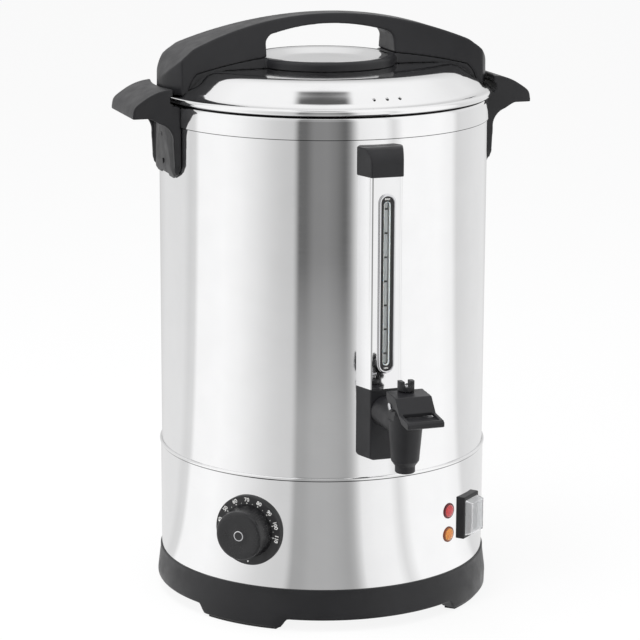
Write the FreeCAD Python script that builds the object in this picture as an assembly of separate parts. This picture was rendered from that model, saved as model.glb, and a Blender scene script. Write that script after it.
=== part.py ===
# Hot water urn: a double-walled steel boiler with a lift-off lid, a lever tap and a sight gauge.
# Units are millimetres. +Z is up, the tap faces -Y and the origin is on the surface that the
# urn stands on, under the centre of the body.
import FreeCAD
import Part
import math
import os

V = FreeCAD.Vector

# Sheet and general values
SHEET = 0.8             # thickness of the steel sheets
FIT = 0.1               # radial gap of one shell slid over another
RUN = 0.05              # radial gap of a turning pin in its hole
CLEAR = 0.3             # gap between a moving piece and what it passes
SCREW_R = 1.95          # screw shanks
SCREW_HOLE_R = 2.0      # holes they hold in
SCREW_PASS_R = 2.3      # holes they pass through

# Body, from the table up
SHELL_R = 145.0         # outer radius of the upper shell
PAD_H = 2.0             # rubber pad under each foot
BASE_BOTTOM = 10.0      # lower edge of the base ring between the feet
BASE_BAND = 27.0        # height of the base ring
BASE_FLARE = 2.4        # how far the base ring flares at its foot
BASE_LIP = 1.2          # wall of the base ring round the skirt
BASE_WALL = 3.6         # moulded wall of the base ring below the skirt
BASE_LEDGE = 5.0        # depth of the rebate that takes the skirt
SKIRT_H = 105.0         # height of the lower skirt
SKIRT_BEAD = 0.9        # bead round the skirt's upper edge
SHELL_LAP = 6.0         # how far the upper shell reaches down into the skirt
SHELL_H = 305.0         # height of the upper shell
COLLAR_BAND = 7.0       # how far the collar's band reaches below the shell's edge
COLLAR_RISE = 13.0      # top of the collar above the shell's edge
COLLAR_LIP = 11.0       # how far the collar's top reaches in over the jacket
JACKET = 17.0           # gap between the outside of the tank and the outside of the shell
TANK_RAISE = 39.0       # underside of the tank above the shell's lower edge

# Feet and base plate
FOOT_ANGLE = 48.0       # first foot, counted from the tap towards +X
FOOT_HALF = 38.0        # half length of a foot at its sole
FOOT_SLOPE = 8.0        # how much longer it is on each side where it joins the ring
FOOT_DEPTH = 14.0       # radial depth of a foot
PAD_INSET = 4.0         # the pads stand back from the ends of the feet
BOSS_R = 5.0            # screw bosses on the flange
BOSS_H = 9.0
FLANGE_T = 3.0          # inner flange of the base ring, which the plate is screwed to
FLANGE_W = 31.6         # width of that flange, from the ring's outside
SCREW_INSET = 6.5       # base screws from the edge of the plate and of the flange
PLATE_INSET = 18.6      # edge of the base plate from the ring's outside
PLATE_T = 1.2
SLOTS = 12              # air slots in the base plate
SLOT_W = 5.0
SLOT_L = 28.0
SLOT_INSET = 27.0       # slots from the edge of the plate

# Lid
RIM_OVERHANG = 4.0      # the lid's rim stands out past the shell
RIM_H = 5.8             # height of the rolled rim
RIM_LEDGE = 5.5         # flat ledge inside the rim
LID_SHOULDER = 45.5     # width of the sloping shoulder
LID_RISE = 20.4         # flat top above the ledge
LID_RING_GAP = 0.6      # locating ring inside the collar
LID_RING_DROP = 7.0     # how far that ring reaches below the collar's top
VENT_R = 1.5            # steam holes in the lid
VENT_PITCH = 5.0        # degrees between steam holes

# Lid handle
HUB_R = 64.0            # round middle of the handle's base
HUB_H = 8.0             # height of that middle above the lid
HUB_BEVEL = 2.0
DISH_R = 57.0           # polished finger dish in the hub
DISH_SLOPE = 13.0       # sloping wall of the dish
DISH_RIM = 6.0          # flat rim of the dish
DISH_DEPTH = 5.0
ARCH_OVERHANG = 1.5     # the arch ends stand out past the lid's rim
ARCH_TOP = 45.0         # crown of the arch above the lid's flat top
ARCH_THICK = 9.0        # bar of the arch over the grip
ARCH_LEG = 17.0         # foot of the arch's leg
GRIP_HALF = 59.0        # half width of the grip opening
SEAM_STEP = 0.8         # the handle's base stands back from the arch by this much
LID_SCREW_INSET = 58.5  # lid screws from the ends of the arch

# Side handles
GRIP_WIDTH = 72.0       # along the body
GRIP_REACH = 38.5       # out from the body
GRIP_RISE = 14.0        # top of the grip above the collar
GRIP_DROP = 27.0        # height of the grip's shoulder curve
GRIP_LIP = 2.4          # lip below that curve
GRIP_WALL = 3.5
LEG_H = 52.0            # the leg reaches below the shell's upper edge by this much
LEG_RIB = 2.0           # the side ribs stand out past the body's radius by this much
LEG_CORNER = 12.0
HANDLE_SCREWS = (40.0, 16.0)    # below the shell's upper edge

# Gauge
GAUGE_FRONT = 18.0      # front of the gauge cover, out from the shell
GAUGE_HALF_FRONT = 13.5
GAUGE_HALF_BACK = 19.5
COVER_RAISE = 19.0      # lower end of the cover above the tap's axis
COVER_DROP = 36.0       # upper end of the cover below the shell's edge
CAP_H = 24.0
CAP_ROUND = 13.0        # rounded top front of the cap
BLOCK_DROP = 43.0       # lower end of the block below the tap's axis
WINDOW_BELOW = 19.0     # window above the cover's lower end
WINDOW_ABOVE = 16.0     # window below the cover's upper end
GASKET_HALF = 5.6
WINDOW_HALF = 3.7
FRAME_HALF = 8.0
TUBE_R = 5.0
TUBE_BORE = 3.6

# Tap
TAP_RAISE = 69.0        # axis of the inlet above the shell's lower edge
STEM_REACH = 66.0       # stem axis, out from the shell
SHANK_R = 8.0
SHANK_BORE = 5.5
BARREL_R = 13.0
SPOUT_TOP_R = 15.5
SPOUT_LOW_R = 11.8
SPOUT_RISE = 12.0       # top of the spout above the inlet's axis
SPOUT_L = 42.5          # tapered part of the spout
NOZZLE_R = 8.5
NOZZLE_CONE = 4.5
NOZZLE_L = 6.0
NOZZLE_BORE = 6.3
SEAT_DROP = 12.0        # valve seat below the inlet's axis
THROAT_R = 4.5
THROAT_L = 5.0
CHAMBER_R = 7.5
BONNET_R = 9.2
STEM_R = 2.5
SEAL_R = 6.5
PIN_R = 2.0
PIN_AHEAD = 6.3         # the lever's pin stands this far in front of the stem
PIN_RAISE = 6.4         # and this far above the spout
EAR_R = 4.2
LEVER_HALF = 16.0
LEVER_RAISE = 10.6      # top of the lever above its pin
LEVER_T = 2.4

# Controls on the skirt: angle from the tap towards +X, and height above the skirt's lower edge
DIAL_ANGLE = -44.5
DIAL_RAISE = 55.0
DIAL_R = 31.0
DIAL_FACE = 3.0         # dial face, out from the skirt
KNOB_R = 23.5
KNOB_FRONT_R = 21.5
KNOB_H = 18.5
BADGE_R = 5.0           # bare metal disc sunk in the knob
BADGE_DEPTH = 2.6
SPINDLE_R = 3.0
LAMP_ANGLE = 30.5
LAMP_RAISE = {"red": 61.5, "orange": 40.0}
LAMP_R = 7.0
SWITCH_ANGLE = 40.5
SWITCH_RAISE = 52.5
SWITCH_HALF = (13.5, 19.0)
SWITCH_DEPTH = 7.6
ROCKER_TILT = 10.0
ROCKER_DEPTH = 6.0      # rocker's axis behind the front of its frame
COVER_HALF = (11.5, 16.0)
COVER_DEPTH = 6.5
INLET_RAISE = 40.0
INLET_HALF = (15.5, 12.5)
INLET_FACE = 3.0        # front of the inlet, out from the skirt
BODY_INSET = 2.7        # the bodies of the switch and inlet are this much smaller than their flanges

# Heater under the tank
HEATER_R = 75.0
HEATER_T = 4.0
ELEMENT_R = 4.0
ELEMENT_RING = 58.0
CLAMP_T = 3.0
BULB_R = 3.0
BULB_L = 37.0
TERMINAL = (22.0, 8.0, 20.0)    # half length, half width and height of the terminal block

# Values worked out from the ones above
skirt_in = SHELL_R + FIT
skirt_out = skirt_in + SHEET
ledge_z = BASE_BOTTOM + BASE_BAND - BASE_LEDGE
base_top = BASE_BOTTOM + BASE_BAND
flange_low = BASE_BOTTOM + 2
seam_z = ledge_z + SKIRT_H
shell_low = seam_z - SHELL_LAP
shell_top = shell_low + SHELL_H
tank_r = SHELL_R - JACKET
tank_floor = shell_low + TANK_RAISE
ring_top_r = skirt_out + FIT + BASE_LIP
ring_r = ring_top_r + BASE_FLARE
plate_r = ring_r - PLATE_INSET
base_screw_r = plate_r - SCREW_INSET
flange_z = shell_top + SHEET
collar_top = shell_top + COLLAR_RISE
mouth_r = SHELL_R - COLLAR_LIP
rim_r = SHELL_R + RIM_OVERHANG
lid_ledge_r = rim_r - RIM_LEDGE
lid_flat_r = lid_ledge_r - LID_SHOULDER
lid_ledge = collar_top + CLEAR + RIM_H
lid_top = lid_ledge + LID_RISE
hub_top = lid_top + HUB_H
arch_end = rim_r + ARCH_OVERHANG
lid_screw_x = arch_end - LID_SCREW_INSET
leg_foot = lid_ledge + 1.5
inner_face = arch_end + 2.0
grip_top = collar_top + GRIP_RISE
leg_bottom = shell_top - LEG_H
handle_screw_z = [shell_top - drop for drop in HANDLE_SCREWS]
tap_z = shell_low + TAP_RAISE
stem_y = -(SHELL_R + STEM_REACH)
pin_y = stem_y - PIN_AHEAD
spout_top = tap_z + SPOUT_RISE
spout_low = spout_top - SPOUT_L
nozzle_top = spout_low - NOZZLE_CONE
nozzle_low = nozzle_top - NOZZLE_L
seat_z = tap_z - SEAT_DROP
pin_z = spout_top + PIN_RAISE
lever_top = pin_z + LEVER_RAISE
gauge_y = -(SHELL_R + GAUGE_FRONT)
tube_y = gauge_y + SHEET + TUBE_R + 2.0
cover_low = tap_z + COVER_RAISE
cover_high = shell_top - COVER_DROP
cap_top = cover_high + CAP_H
block_low = tap_z - BLOCK_DROP
window_low = cover_low + WINDOW_BELOW
window_high = cover_high - WINDOW_ABOVE
gauge_screw_z = (block_low + 14, cap_top - 12)
dial_z = ledge_z + DIAL_RAISE
lamp_z = {name: ledge_z + rise for name, rise in LAMP_RAISE.items()}
switch_z = ledge_z + SWITCH_RAISE
switch_front = skirt_out + SWITCH_DEPTH
rocker_axis = switch_front - ROCKER_DEPTH
inlet_z = ledge_z + INLET_RAISE
dish_floor_r = DISH_R - DISH_RIM - DISH_SLOPE
heater_low = tank_floor - HEATER_T
element_low = heater_low - 2 * ELEMENT_R
clamp_low = element_low - CLAMP_T
bulb_z = tank_floor - BULB_R
bulb_start = HEATER_R + 3.0
bulb_end = bulb_start + BULB_L


def tube(outer, inner, low, high):
    body = Part.makeCylinder(outer, high - low, V(0, 0, low))
    return body.cut(Part.makeCylinder(inner, high - low + 2, V(0, 0, low - 1)))


def disc(radius, low, high, x=0.0, y=0.0):
    return Part.makeCylinder(radius, high - low, V(x, y, low))


def block(x0, x1, y0, y1, z0, z1):
    return Part.makeBox(x1 - x0, y1 - y0, z1 - z0, V(x0, y0, z0))


def bar(radius, start, end):
    run = V(*end) - V(*start)
    return Part.makeCylinder(radius, run.Length, V(*start), run)


def ring_of(profile):
    """Turn a closed profile of (radius, height) points about the urn's axis."""
    points = [V(r, 0, z) for r, z in profile]
    face = Part.Face(Part.makePolygon(points + points[:1]))
    return face.revolve(V(0, 0, 0), V(0, 0, 1), 360)


def prism(points, plane, low, high):
    """Extrude a closed outline. The outline lies in plane xy, xz or yz, from low to high."""
    lay = {"xy": lambda a, b: V(a, b, low), "xz": lambda a, b: V(a, low, b), "yz": lambda a, b: V(low, a, b)}
    along = {"xy": V(0, 0, high - low), "xz": V(0, high - low, 0), "yz": V(high - low, 0, 0)}
    corners = [lay[plane](a, b) for a, b in points]
    return Part.Face(Part.makePolygon(corners + corners[:1])).extrude(along[plane])


def wire_prism(edges, along):
    return Part.Face(Part.Wire(edges)).extrude(along)


def arc(a, b, c):
    return Part.Arc(a, b, c).toShape()


def line(a, b):
    return Part.LineSegment(a, b).toShape()


def on_wall(shape, angle, height):
    """Place a piece made along +Z, with +Y up, so that it points out of the body at an angle."""
    shape.rotate(V(0, 0, 0), V(1, 0, 0), 90)
    shape.rotate(V(0, 0, 0), V(0, 0, 1), angle)
    shape.translate(V(0, 0, height))
    return shape


def mirrored(shape):
    return shape.mirror(V(0, 0, 0), V(1, 0, 0))


def rounded(shape, radius, chosen):
    """Fillet the edges that chosen() picks, by the middle of each edge."""
    edges = [e for e in shape.Edges if chosen(e)]
    return shape.makeFillet(radius, edges) if edges else shape


def bevelled(shape, size, chosen):
    """The same with a flat bevel."""
    return shape.makeChamfer(size, [e for e in shape.Edges if chosen(e)])


def screw(shank_r, head_r, head_h, start, end):
    """Screw from under its head to its tip, with a hexagon head behind the start."""
    base, run = V(*start), V(*end) - V(*start)
    corners = [V(head_r * math.cos(math.radians(a)), head_r * math.sin(math.radians(a)), -head_h)
               for a in range(0, 360, 60)]
    head = Part.Face(Part.makePolygon(corners + corners[:1])).extrude(V(0, 0, head_h))
    body = head.fuse(disc(shank_r, 0, run.Length))
    body.Placement = FreeCAD.Placement(base, FreeCAD.Rotation(V(0, 0, 1), run))
    return body


def middle(edge):
    return edge.valueAt((edge.FirstParameter + edge.LastParameter) / 2)


# Base ring with its four feet
def base_ring():
    wall_in = ring_top_r - BASE_WALL
    skirt_seat = skirt_out + FIT
    flange_in = ring_r - FLANGE_W
    rim_in = ring_r - BASE_WALL - BASE_FLARE
    flange_top = flange_low + FLANGE_T
    ring = ring_of([
        (ring_r, BASE_BOTTOM), (ring_r, BASE_BOTTOM + 4), (ring_top_r, ledge_z + 1), (ring_top_r, base_top),
        (skirt_seat, base_top), (skirt_seat, ledge_z), (wall_in, ledge_z), (wall_in, flange_top),
        (flange_in, flange_top), (flange_in, flange_low), (rim_in, flange_low), (rim_in, BASE_BOTTOM)])
    for angle in foot_angles():
        ring = ring.fuse(foot(angle))
    for angle in screw_angles():
        x, y = at(base_screw_r, angle)
        ring = ring.fuse(disc(BOSS_R, flange_low, flange_low + BOSS_H, x, y))
        ring = ring.cut(disc(SCREW_HOLE_R, flange_low - 1, flange_low + BOSS_H - 2, x, y))
    return ring.removeSplitter()


def foot(angle):
    shape = tube(ring_r - 0.3, ring_r - FOOT_DEPTH, PAD_H, flange_low)
    wide = FOOT_HALF + FOOT_SLOPE
    wedge = prism([(-FOOT_HALF, PAD_H), (FOOT_HALF, PAD_H), (wide, flange_low), (-wide, flange_low)],
                  "xz", -ring_r - 1, -ring_r * 0.5)
    wedge.rotate(V(0, 0, 0), V(0, 0, 1), angle)
    return shape.common(wedge)


def foot_angles():
    return [FOOT_ANGLE, 180 - FOOT_ANGLE, 180 + FOOT_ANGLE, -FOOT_ANGLE]


def screw_angles():
    return [0, 90, 180, 270]


def at(radius, angle):
    """Point on a circle, with the angle counted from the tap towards +X."""
    turn = math.radians(angle)
    return radius * math.sin(turn), -radius * math.cos(turn)


def foot_pads():
    pads = []
    for angle in foot_angles():
        pad = tube(ring_r - 2.5, ring_r - FOOT_DEPTH + 2, 0, PAD_H)
        half = FOOT_HALF - PAD_INSET
        cut = block(-half, half, -ring_r - 1, -ring_r * 0.5, -1, PAD_H + 1)
        cut.rotate(V(0, 0, 0), V(0, 0, 1), angle)
        pads.append(pad.common(cut))
    return Part.makeCompound(pads)


def base_plate():
    low = flange_low - PLATE_T
    plate = disc(plate_r, low, flange_low)
    slot_end = plate_r - SLOT_INSET
    for i in range(SLOTS):
        air = block(-SLOT_W / 2, SLOT_W / 2, -slot_end, SLOT_L - slot_end, low - 1, flange_low + 1)
        air.rotate(V(0, 0, 0), V(0, 0, 1), 360.0 / SLOTS * (i + 0.5))
        plate = plate.cut(air)
    for angle in screw_angles():
        x, y = at(base_screw_r, angle)
        plate = plate.cut(disc(SCREW_PASS_R, low - 1, flange_low + 1, x, y))
    return plate


def base_screws():
    head, tip = flange_low - PLATE_T, flange_low + BOSS_H - 3
    places = [at(base_screw_r, angle) for angle in screw_angles()]
    return Part.makeCompound([screw(SCREW_R, 4, 2.4, (x, y, head), (x, y, tip)) for x, y in places])


# Steel shells
def lower_skirt():
    bead = skirt_out + SKIRT_BEAD
    deep, clear = skirt_in - 20, skirt_out + 5
    skirt = ring_of([
        (skirt_in, ledge_z), (skirt_out, ledge_z), (skirt_out, seam_z - 3.0), (bead, seam_z - 1.6),
        (bead, seam_z), (skirt_in, seam_z)])
    skirt = skirt.cut(on_wall(disc(6, deep, clear), DIAL_ANGLE, dial_z))
    for height in lamp_z.values():
        skirt = skirt.cut(on_wall(disc(LAMP_R - 1.2, deep, clear), LAMP_ANGLE, height))
    for (half_w, half_h), angle, height in ((SWITCH_HALF, SWITCH_ANGLE, switch_z), (INLET_HALF, 180, inlet_z)):
        w, h = half_w - BODY_INSET + 0.2, half_h - BODY_INSET + 0.2
        skirt = skirt.cut(on_wall(block(-w, w, -h, h, deep, clear), angle, height))
    return skirt


def outer_shell():
    shell = tube(SHELL_R, SHELL_R - SHEET, shell_low, shell_top)
    shell = shell.cut(bar(SHANK_R + 0.4, (0, -tank_r, tap_z), (0, -SHELL_R - 5, tap_z)))
    for side in (-1, 1):
        for height in handle_screw_z:
            shell = shell.cut(bar(SCREW_PASS_R, (side * tank_r, 0, height), (side * (SHELL_R + 5), 0, height)))
    for height in gauge_screw_z:
        shell = shell.cut(bar(1.8, (0, -tank_r, height), (0, -SHELL_R - 5, height)))
    return shell


def top_collar():
    mouth = mouth_r - SHEET
    return ring_of([
        (skirt_in, shell_top - COLLAR_BAND), (skirt_out, shell_top - COLLAR_BAND), (skirt_out, collar_top - 2.4),
        (skirt_out - 1.8, collar_top), (mouth, collar_top), (mouth, flange_z), (mouth_r, flange_z),
        (mouth_r, collar_top - SHEET), (skirt_in, collar_top - SHEET - 1.2)])


def inner_tank():
    tank = ring_of([
        (0, tank_floor), (tank_r, tank_floor), (tank_r, shell_top), (SHELL_R - 0.2, shell_top),
        (SHELL_R - 0.2, flange_z), (tank_r - SHEET, flange_z), (tank_r - SHEET, tank_floor + SHEET),
        (0, tank_floor + SHEET)])
    return tank.cut(bar(SHANK_R + 0.4, (0, -tank_r + 15, tap_z), (0, -tank_r - 5, tap_z)))


# Lid
def lid_outline(drop):
    """Top and shoulder of the lid as (radius, height) points, moved down square to the surface."""
    span = lid_ledge_r - lid_flat_r
    share = [(0.0, 1.0), (0.36, 0.93), (0.62, 0.66), (0.82, 0.26), (1.0, 0.0)]
    points = [(lid_flat_r + span * a, lid_ledge + LID_RISE * b) for a, b in share]
    moved = [(0, lid_top - drop)]
    for i, (r, z) in enumerate(points):
        before = points[i - 1] if i else (0, z)
        after = points[i + 1] if i + 1 < len(points) else (r + 9, z)
        slope = (math.atan2(z - before[1], r - before[0]) + math.atan2(after[1] - z, after[0] - r)) / 2
        moved.append((r + drop * math.sin(slope), z - drop * math.cos(slope)))
    return moved


def lid_solid(drop):
    """Everything under the lid's surface, moved down by drop, as one turned solid."""
    points = lid_outline(drop)
    low = lid_ledge - 12
    return ring_of(points + [(rim_r + 3, points[-1][1]), (rim_r + 3, low), (0, low)])


def lid_pan():
    bead = [(rim_r - 1.6, lid_ledge), (rim_r, lid_ledge - 1.8), (rim_r, lid_ledge - RIM_H + 1.4),
            (rim_r - 1.4, lid_ledge - RIM_H), (rim_r - 4.2, lid_ledge - RIM_H),
            (rim_r - 4.2, lid_ledge - SHEET)]
    pan = ring_of(lid_outline(0) + bead + lid_outline(SHEET)[::-1])
    vent_r = lid_ledge_r - 0.28 * (lid_ledge_r - lid_flat_r)
    for i in (-1, 0, 1):
        x, y = at(vent_r, 4 + i * VENT_PITCH)
        pan = pan.cut(disc(VENT_R, lid_ledge - 1, lid_top + 1, x, y))
    for x in (-lid_screw_x, lid_screw_x):
        pan = pan.cut(disc(SCREW_PASS_R, lid_top - 5, lid_top + 1, x, 0))
    return pan


def lid_ring():
    """Locating ring under the lid, inside the collar's mouth."""
    outer = mouth_r - SHEET - LID_RING_GAP
    ring = tube(outer, outer - SHEET, collar_top - LID_RING_DROP, lid_top)
    return ring.common(lid_solid(SHEET))


# Lid handle: a base that lies on the lid and an arch that stands on it
def plan_wire(mid_half, end_half, length, z):
    """Waisted plan outline with round ends."""
    neck = length - 12
    a, b, c, d = V(-neck, -end_half, z), V(neck, -end_half, z), V(neck, end_half, z), V(-neck, end_half, z)
    edges = [arc(a, V(0, -mid_half, z), b), arc(b, V(length, 0, z), c),
             arc(c, V(0, mid_half, z), d), arc(d, V(-length, 0, z), a)]
    return Part.Wire(edges)


def handle_plan(step):
    """Waisted column that is wider at the lid than at the crown of the arch."""
    low = plan_wire(27 - step, 32.5 - step, arch_end - step, leg_foot - 5)
    high = plan_wire(9.5 - step, 29 - step, arch_end - step, lid_top + ARCH_TOP + 5)
    return Part.makeLoft([low, high], True, True)


def seam_edges(y):
    """Joint between the arch and its base, from one leg over the hub to the other leg."""
    foot_in, knee = arch_end - ARCH_LEG, arch_end - ARCH_LEG - 9
    between = GRIP_HALF + 0.55 * (knee - GRIP_HALF)
    heel = V(-foot_in, y, leg_foot)
    left = [arc(heel, V(-(foot_in - 3.5), y, lid_top - 7.5), V(-knee, y, lid_top - 1.5)),
            arc(V(-knee, y, lid_top - 1.5), V(-between, y, lid_top + 4.6), V(-GRIP_HALF, y, hub_top + 1.5))]
    right = [arc(V(GRIP_HALF, y, hub_top + 1.5), V(between, y, lid_top + 4.6), V(knee, y, lid_top - 1.5)),
             arc(V(knee, y, lid_top - 1.5), V(foot_in - 3.5, y, lid_top - 7.5), V(foot_in, y, leg_foot))]
    return left, right


def arch_side(y):
    """Side view of the arch with its grip opening, as one closed wire."""
    left, right = seam_edges(y)
    crown = lid_top + ARCH_TOP
    end = arch_end + 1
    outer = [line(V(arch_end - ARCH_LEG, y, leg_foot), V(end, y, leg_foot)),
             line(V(end, y, leg_foot), V(end, y, crown - 47)),
             arc(V(end, y, crown - 47), V(end - 4.7, y, crown - 35.5), V(end - 19, y, crown - 27.5)),
             arc(V(end - 19, y, crown - 27.5), V(0, y, crown), V(19 - end, y, crown - 27.5)),
             arc(V(19 - end, y, crown - 27.5), V(4.7 - end, y, crown - 35.5), V(-end, y, crown - 47)),
             line(V(-end, y, crown - 47), V(-end, y, leg_foot)),
             line(V(-end, y, leg_foot), V(ARCH_LEG - arch_end, y, leg_foot))]
    top = crown - ARCH_THICK
    g = GRIP_HALF
    inner = [line(V(-g, y, hub_top + 1.5), V(-g, y, top - 15)),
             arc(V(-g, y, top - 15), V(-g + 2.6, y, top - 9.5), V(-g + 9, y, top - 6.5)),
             arc(V(-g + 9, y, top - 6.5), V(0, y, top), V(g - 9, y, top - 6.5)),
             arc(V(g - 9, y, top - 6.5), V(g - 2.6, y, top - 9.5), V(g, y, top - 15)),
             line(V(g, y, top - 15), V(g, y, hub_top + 1.5))]
    return Part.Wire(Part.__sortEdges__(outer + left + inner + right))


def lid_arch():
    slab = Part.Face(arch_side(-50)).extrude(V(0, 100, 0))
    arch = slab.common(handle_plan(0)).cut(lid_solid(0))
    for x in (-lid_screw_x, lid_screw_x):
        arch = arch.cut(disc(SCREW_HOLE_R, lid_top - 5, lid_top + 16, x, 0))
    return arch


def lid_handle_base():
    left, right = seam_edges(-80)
    under = lid_ledge - 5
    foot_in = arch_end - ARCH_LEG
    edges = left + right + [
        line(V(-GRIP_HALF, -80, hub_top + 1.5), V(-GRIP_HALF, -80, hub_top)),
        line(V(-GRIP_HALF, -80, hub_top), V(GRIP_HALF, -80, hub_top)),
        line(V(GRIP_HALF, -80, hub_top), V(GRIP_HALF, -80, hub_top + 1.5)),
        line(V(foot_in, -80, leg_foot), V(foot_in, -80, under)),
        line(V(foot_in, -80, under), V(-foot_in, -80, under)),
        line(V(-foot_in, -80, under), V(-foot_in, -80, leg_foot))]
    slab = Part.Face(Part.Wire(Part.__sortEdges__(edges))).extrude(V(0, 160, 0))
    arms = slab.common(handle_plan(SEAM_STEP))
    hub = disc(HUB_R, under, hub_top)
    hub = bevelled(hub, HUB_BEVEL, lambda e: abs(middle(e).z - hub_top) < 0.1 and e.Length > 50)
    base = arms.fuse(hub).cut(lid_solid(0))
    base = base.cut(disc(DISH_R - 4, hub_top - DISH_DEPTH - SHEET, hub_top + 5))
    base = base.cut(disc(DISH_R + FIT, hub_top - SHEET, hub_top + 0.1))
    for x in (-lid_screw_x, lid_screw_x):
        base = base.cut(disc(SCREW_PASS_R, lid_top - 5, lid_top + 12, x, 0))
    return max(base.removeSplitter().Solids, key=lambda s: s.Volume)


def finger_dish():
    low = hub_top - DISH_DEPTH
    edge = DISH_R - DISH_RIM
    return ring_of([(0, low - SHEET), (dish_floor_r, low - SHEET), (edge, hub_top - SHEET),
                    (DISH_R, hub_top - SHEET), (DISH_R, hub_top), (edge, hub_top), (dish_floor_r, low), (0, low)])


def lid_screws():
    head = lid_top - SHEET
    return Part.makeCompound([screw(SCREW_R, 4.2, 2.5, (x, 0, head), (x, 0, lid_top + 14)) for x in (-lid_screw_x, lid_screw_x)])


# Side handles
def shoulder(reach, drop, y):
    """Oval curve from the tip of the grip up to its flat top, as two arcs, with its end points."""
    def point(share):
        turn = math.pi / 2 * share
        return V(SHELL_R + reach * math.cos(turn), y, grip_top - GRIP_DROP + drop * math.sin(turn))
    knee = point(0.5)
    return [arc(point(0), point(0.25), knee), arc(knee, point(0.76), point(1))], point(0), point(1)


def grip_solid(half):
    """Grip and leg as one extrusion: shoulder curve, lip, throat and leg."""
    curves, tip, crest = shoulder(GRIP_REACH, GRIP_DROP, -half)
    y, leg_x, lip = -half, SHELL_R + LEG_RIB, grip_top - GRIP_DROP - GRIP_LIP
    back = SHELL_R - 20
    edges = [line(V(back, y, leg_bottom), V(leg_x - 2, y, leg_bottom)),
             arc(V(leg_x - 2, y, leg_bottom), V(leg_x - 0.4, y, leg_bottom + 6), V(leg_x, y, leg_bottom + 14)),
             line(V(leg_x, y, leg_bottom + 14), V(leg_x + 1, y, lip - 18)),
             arc(V(leg_x + 1, y, lip - 18), V(leg_x + 5, y, lip - 5.1), V(leg_x + 16, y, lip)),
             line(V(leg_x + 16, y, lip), V(tip.x, y, lip)), line(V(tip.x, y, lip), tip)] + curves + [
             line(crest, V(back, y, crest.z)), line(V(back, y, crest.z), V(back, y, leg_bottom))]
    return wire_prism(edges, V(0, 2 * half, 0))


def finger_space(half):
    """Hollow under the grip, open downwards."""
    reach, drop = GRIP_REACH - GRIP_WALL, GRIP_DROP - GRIP_WALL
    curves, tip, crest = shoulder(reach, drop, -half)
    back, low = SHELL_R - 10, leg_bottom - 5
    edges = [line(V(back, -half, low), V(tip.x, -half, low)), line(V(tip.x, -half, low), tip)] + curves + [
             line(crest, V(back, -half, crest.z)), line(V(back, -half, crest.z), V(back, -half, low))]
    space = wire_prism(edges, V(0, 2 * half, 0))
    space = space.cut(disc(SHELL_R + 3.6, low - 5, collar_top - 2))
    return space.cut(disc(inner_face + 3, collar_top - 8, grip_top))


def side_handle():
    half = GRIP_WIDTH / 2
    corner, cheek = LEG_CORNER, LEG_CORNER / 3
    outline = [(-half, grip_top + 5), (-half, leg_bottom + corner), (cheek - half, leg_bottom + cheek),
               (corner - half, leg_bottom), (half - corner, leg_bottom), (half - cheek, leg_bottom + cheek),
               (half, leg_bottom + corner), (half, grip_top + 5)]
    grip = grip_solid(half).common(prism(outline, "yz", SHELL_R - 30, SHELL_R + 60))
    grip = grip.cut(finger_space(half - GRIP_WALL))
    # the inner face follows the shell, the collar, the lid's rim and the ends of the arch
    grip = grip.cut(disc(SHELL_R + CLEAR, leg_bottom - 5, shell_top - COLLAR_BAND - 0.6))
    grip = grip.cut(disc(skirt_out + CLEAR, shell_top - COLLAR_BAND - 1, collar_top - 1))
    grip = grip.cut(disc(inner_face, collar_top - 1.2, grip_top + 5))
    grip = grip.cut(disc(inner_face + 2, collar_top + 1, lid_ledge + 1.2))
    for height in handle_screw_z:
        grip = grip.cut(bar(SCREW_HOLE_R, (SHELL_R, 0, height), (SHELL_R + 3.0, 0, height)))
    return grip.removeSplitter()


def plate_face():
    return SHELL_R - SHEET - 2.2


def handle_plates():
    low, high = min(handle_screw_z) - 10, max(handle_screw_z) + 8
    outer = disc(SHELL_R - SHEET - RUN, low, high)
    plate = outer.common(block(plate_face(), SHELL_R, -14, 14, low, high))
    for height in handle_screw_z:
        plate = plate.cut(bar(SCREW_PASS_R, (SHELL_R - 10, 0, height), (SHELL_R + 5, 0, height)))
    return Part.makeCompound([plate, mirrored(plate)])


def handle_screws():
    head = plate_face()
    tip = SHELL_R + 2.7
    return Part.makeCompound([screw(SCREW_R, 4, 2.6, (side * head, 0, height), (side * tip, 0, height))
                              for side in (-1, 1) for height in handle_screw_z])


# Sight gauge
def channel(front, half_front, half_back, low, high):
    """Flared channel section that stands on the shell, as a solid."""
    back = SHELL_R * 0.93
    share = (SHELL_R * 0.991 - back) / (-front - SHELL_R * 0.991)
    root = half_back + (half_back - half_front) * share
    outline = [(-half_front, front), (half_front, front), (root, -back), (-root, -back)]
    return prism(outline, "xy", low, high).cut(disc(SHELL_R + RUN, low - 1, high + 1))


def gauge_cover():
    outer = channel(gauge_y, GAUGE_HALF_FRONT, GAUGE_HALF_BACK, cover_low, cover_high)
    inner = channel(gauge_y + SHEET, GAUGE_HALF_FRONT - SHEET, GAUGE_HALF_BACK - SHEET,
                    cover_low - 1, cover_high + 1)
    cover = outer.cut(inner)
    return cover.cut(slot(GASKET_HALF, window_low, window_high, gauge_y - 5, gauge_y + 5))


def slot(half, low, high, y0, y1):
    """Upright slot with slightly rounded corners, as a solid from y0 to y1."""
    body = block(-half, half, y0, y1, low, high)
    return rounded(body, min(2.0, half * 0.45), lambda e: abs(e.Length - (y1 - y0)) < 1e-6)


def gauge_frame():
    ring = slot(FRAME_HALF, window_low - 3.5, window_high + 3.5, gauge_y - 1.4, gauge_y)
    return ring.cut(slot(GASKET_HALF, window_low, window_high, gauge_y - 3, gauge_y + 3))


def gauge_gasket():
    half = GASKET_HALF - RUN
    ring = slot(half, window_low + RUN, window_high - RUN, gauge_y - 0.9, gauge_y + SHEET + 1.2)
    return ring.cut(slot(WINDOW_HALF, window_low + 3, window_high - 3, gauge_y - 3, gauge_y + 5))


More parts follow.
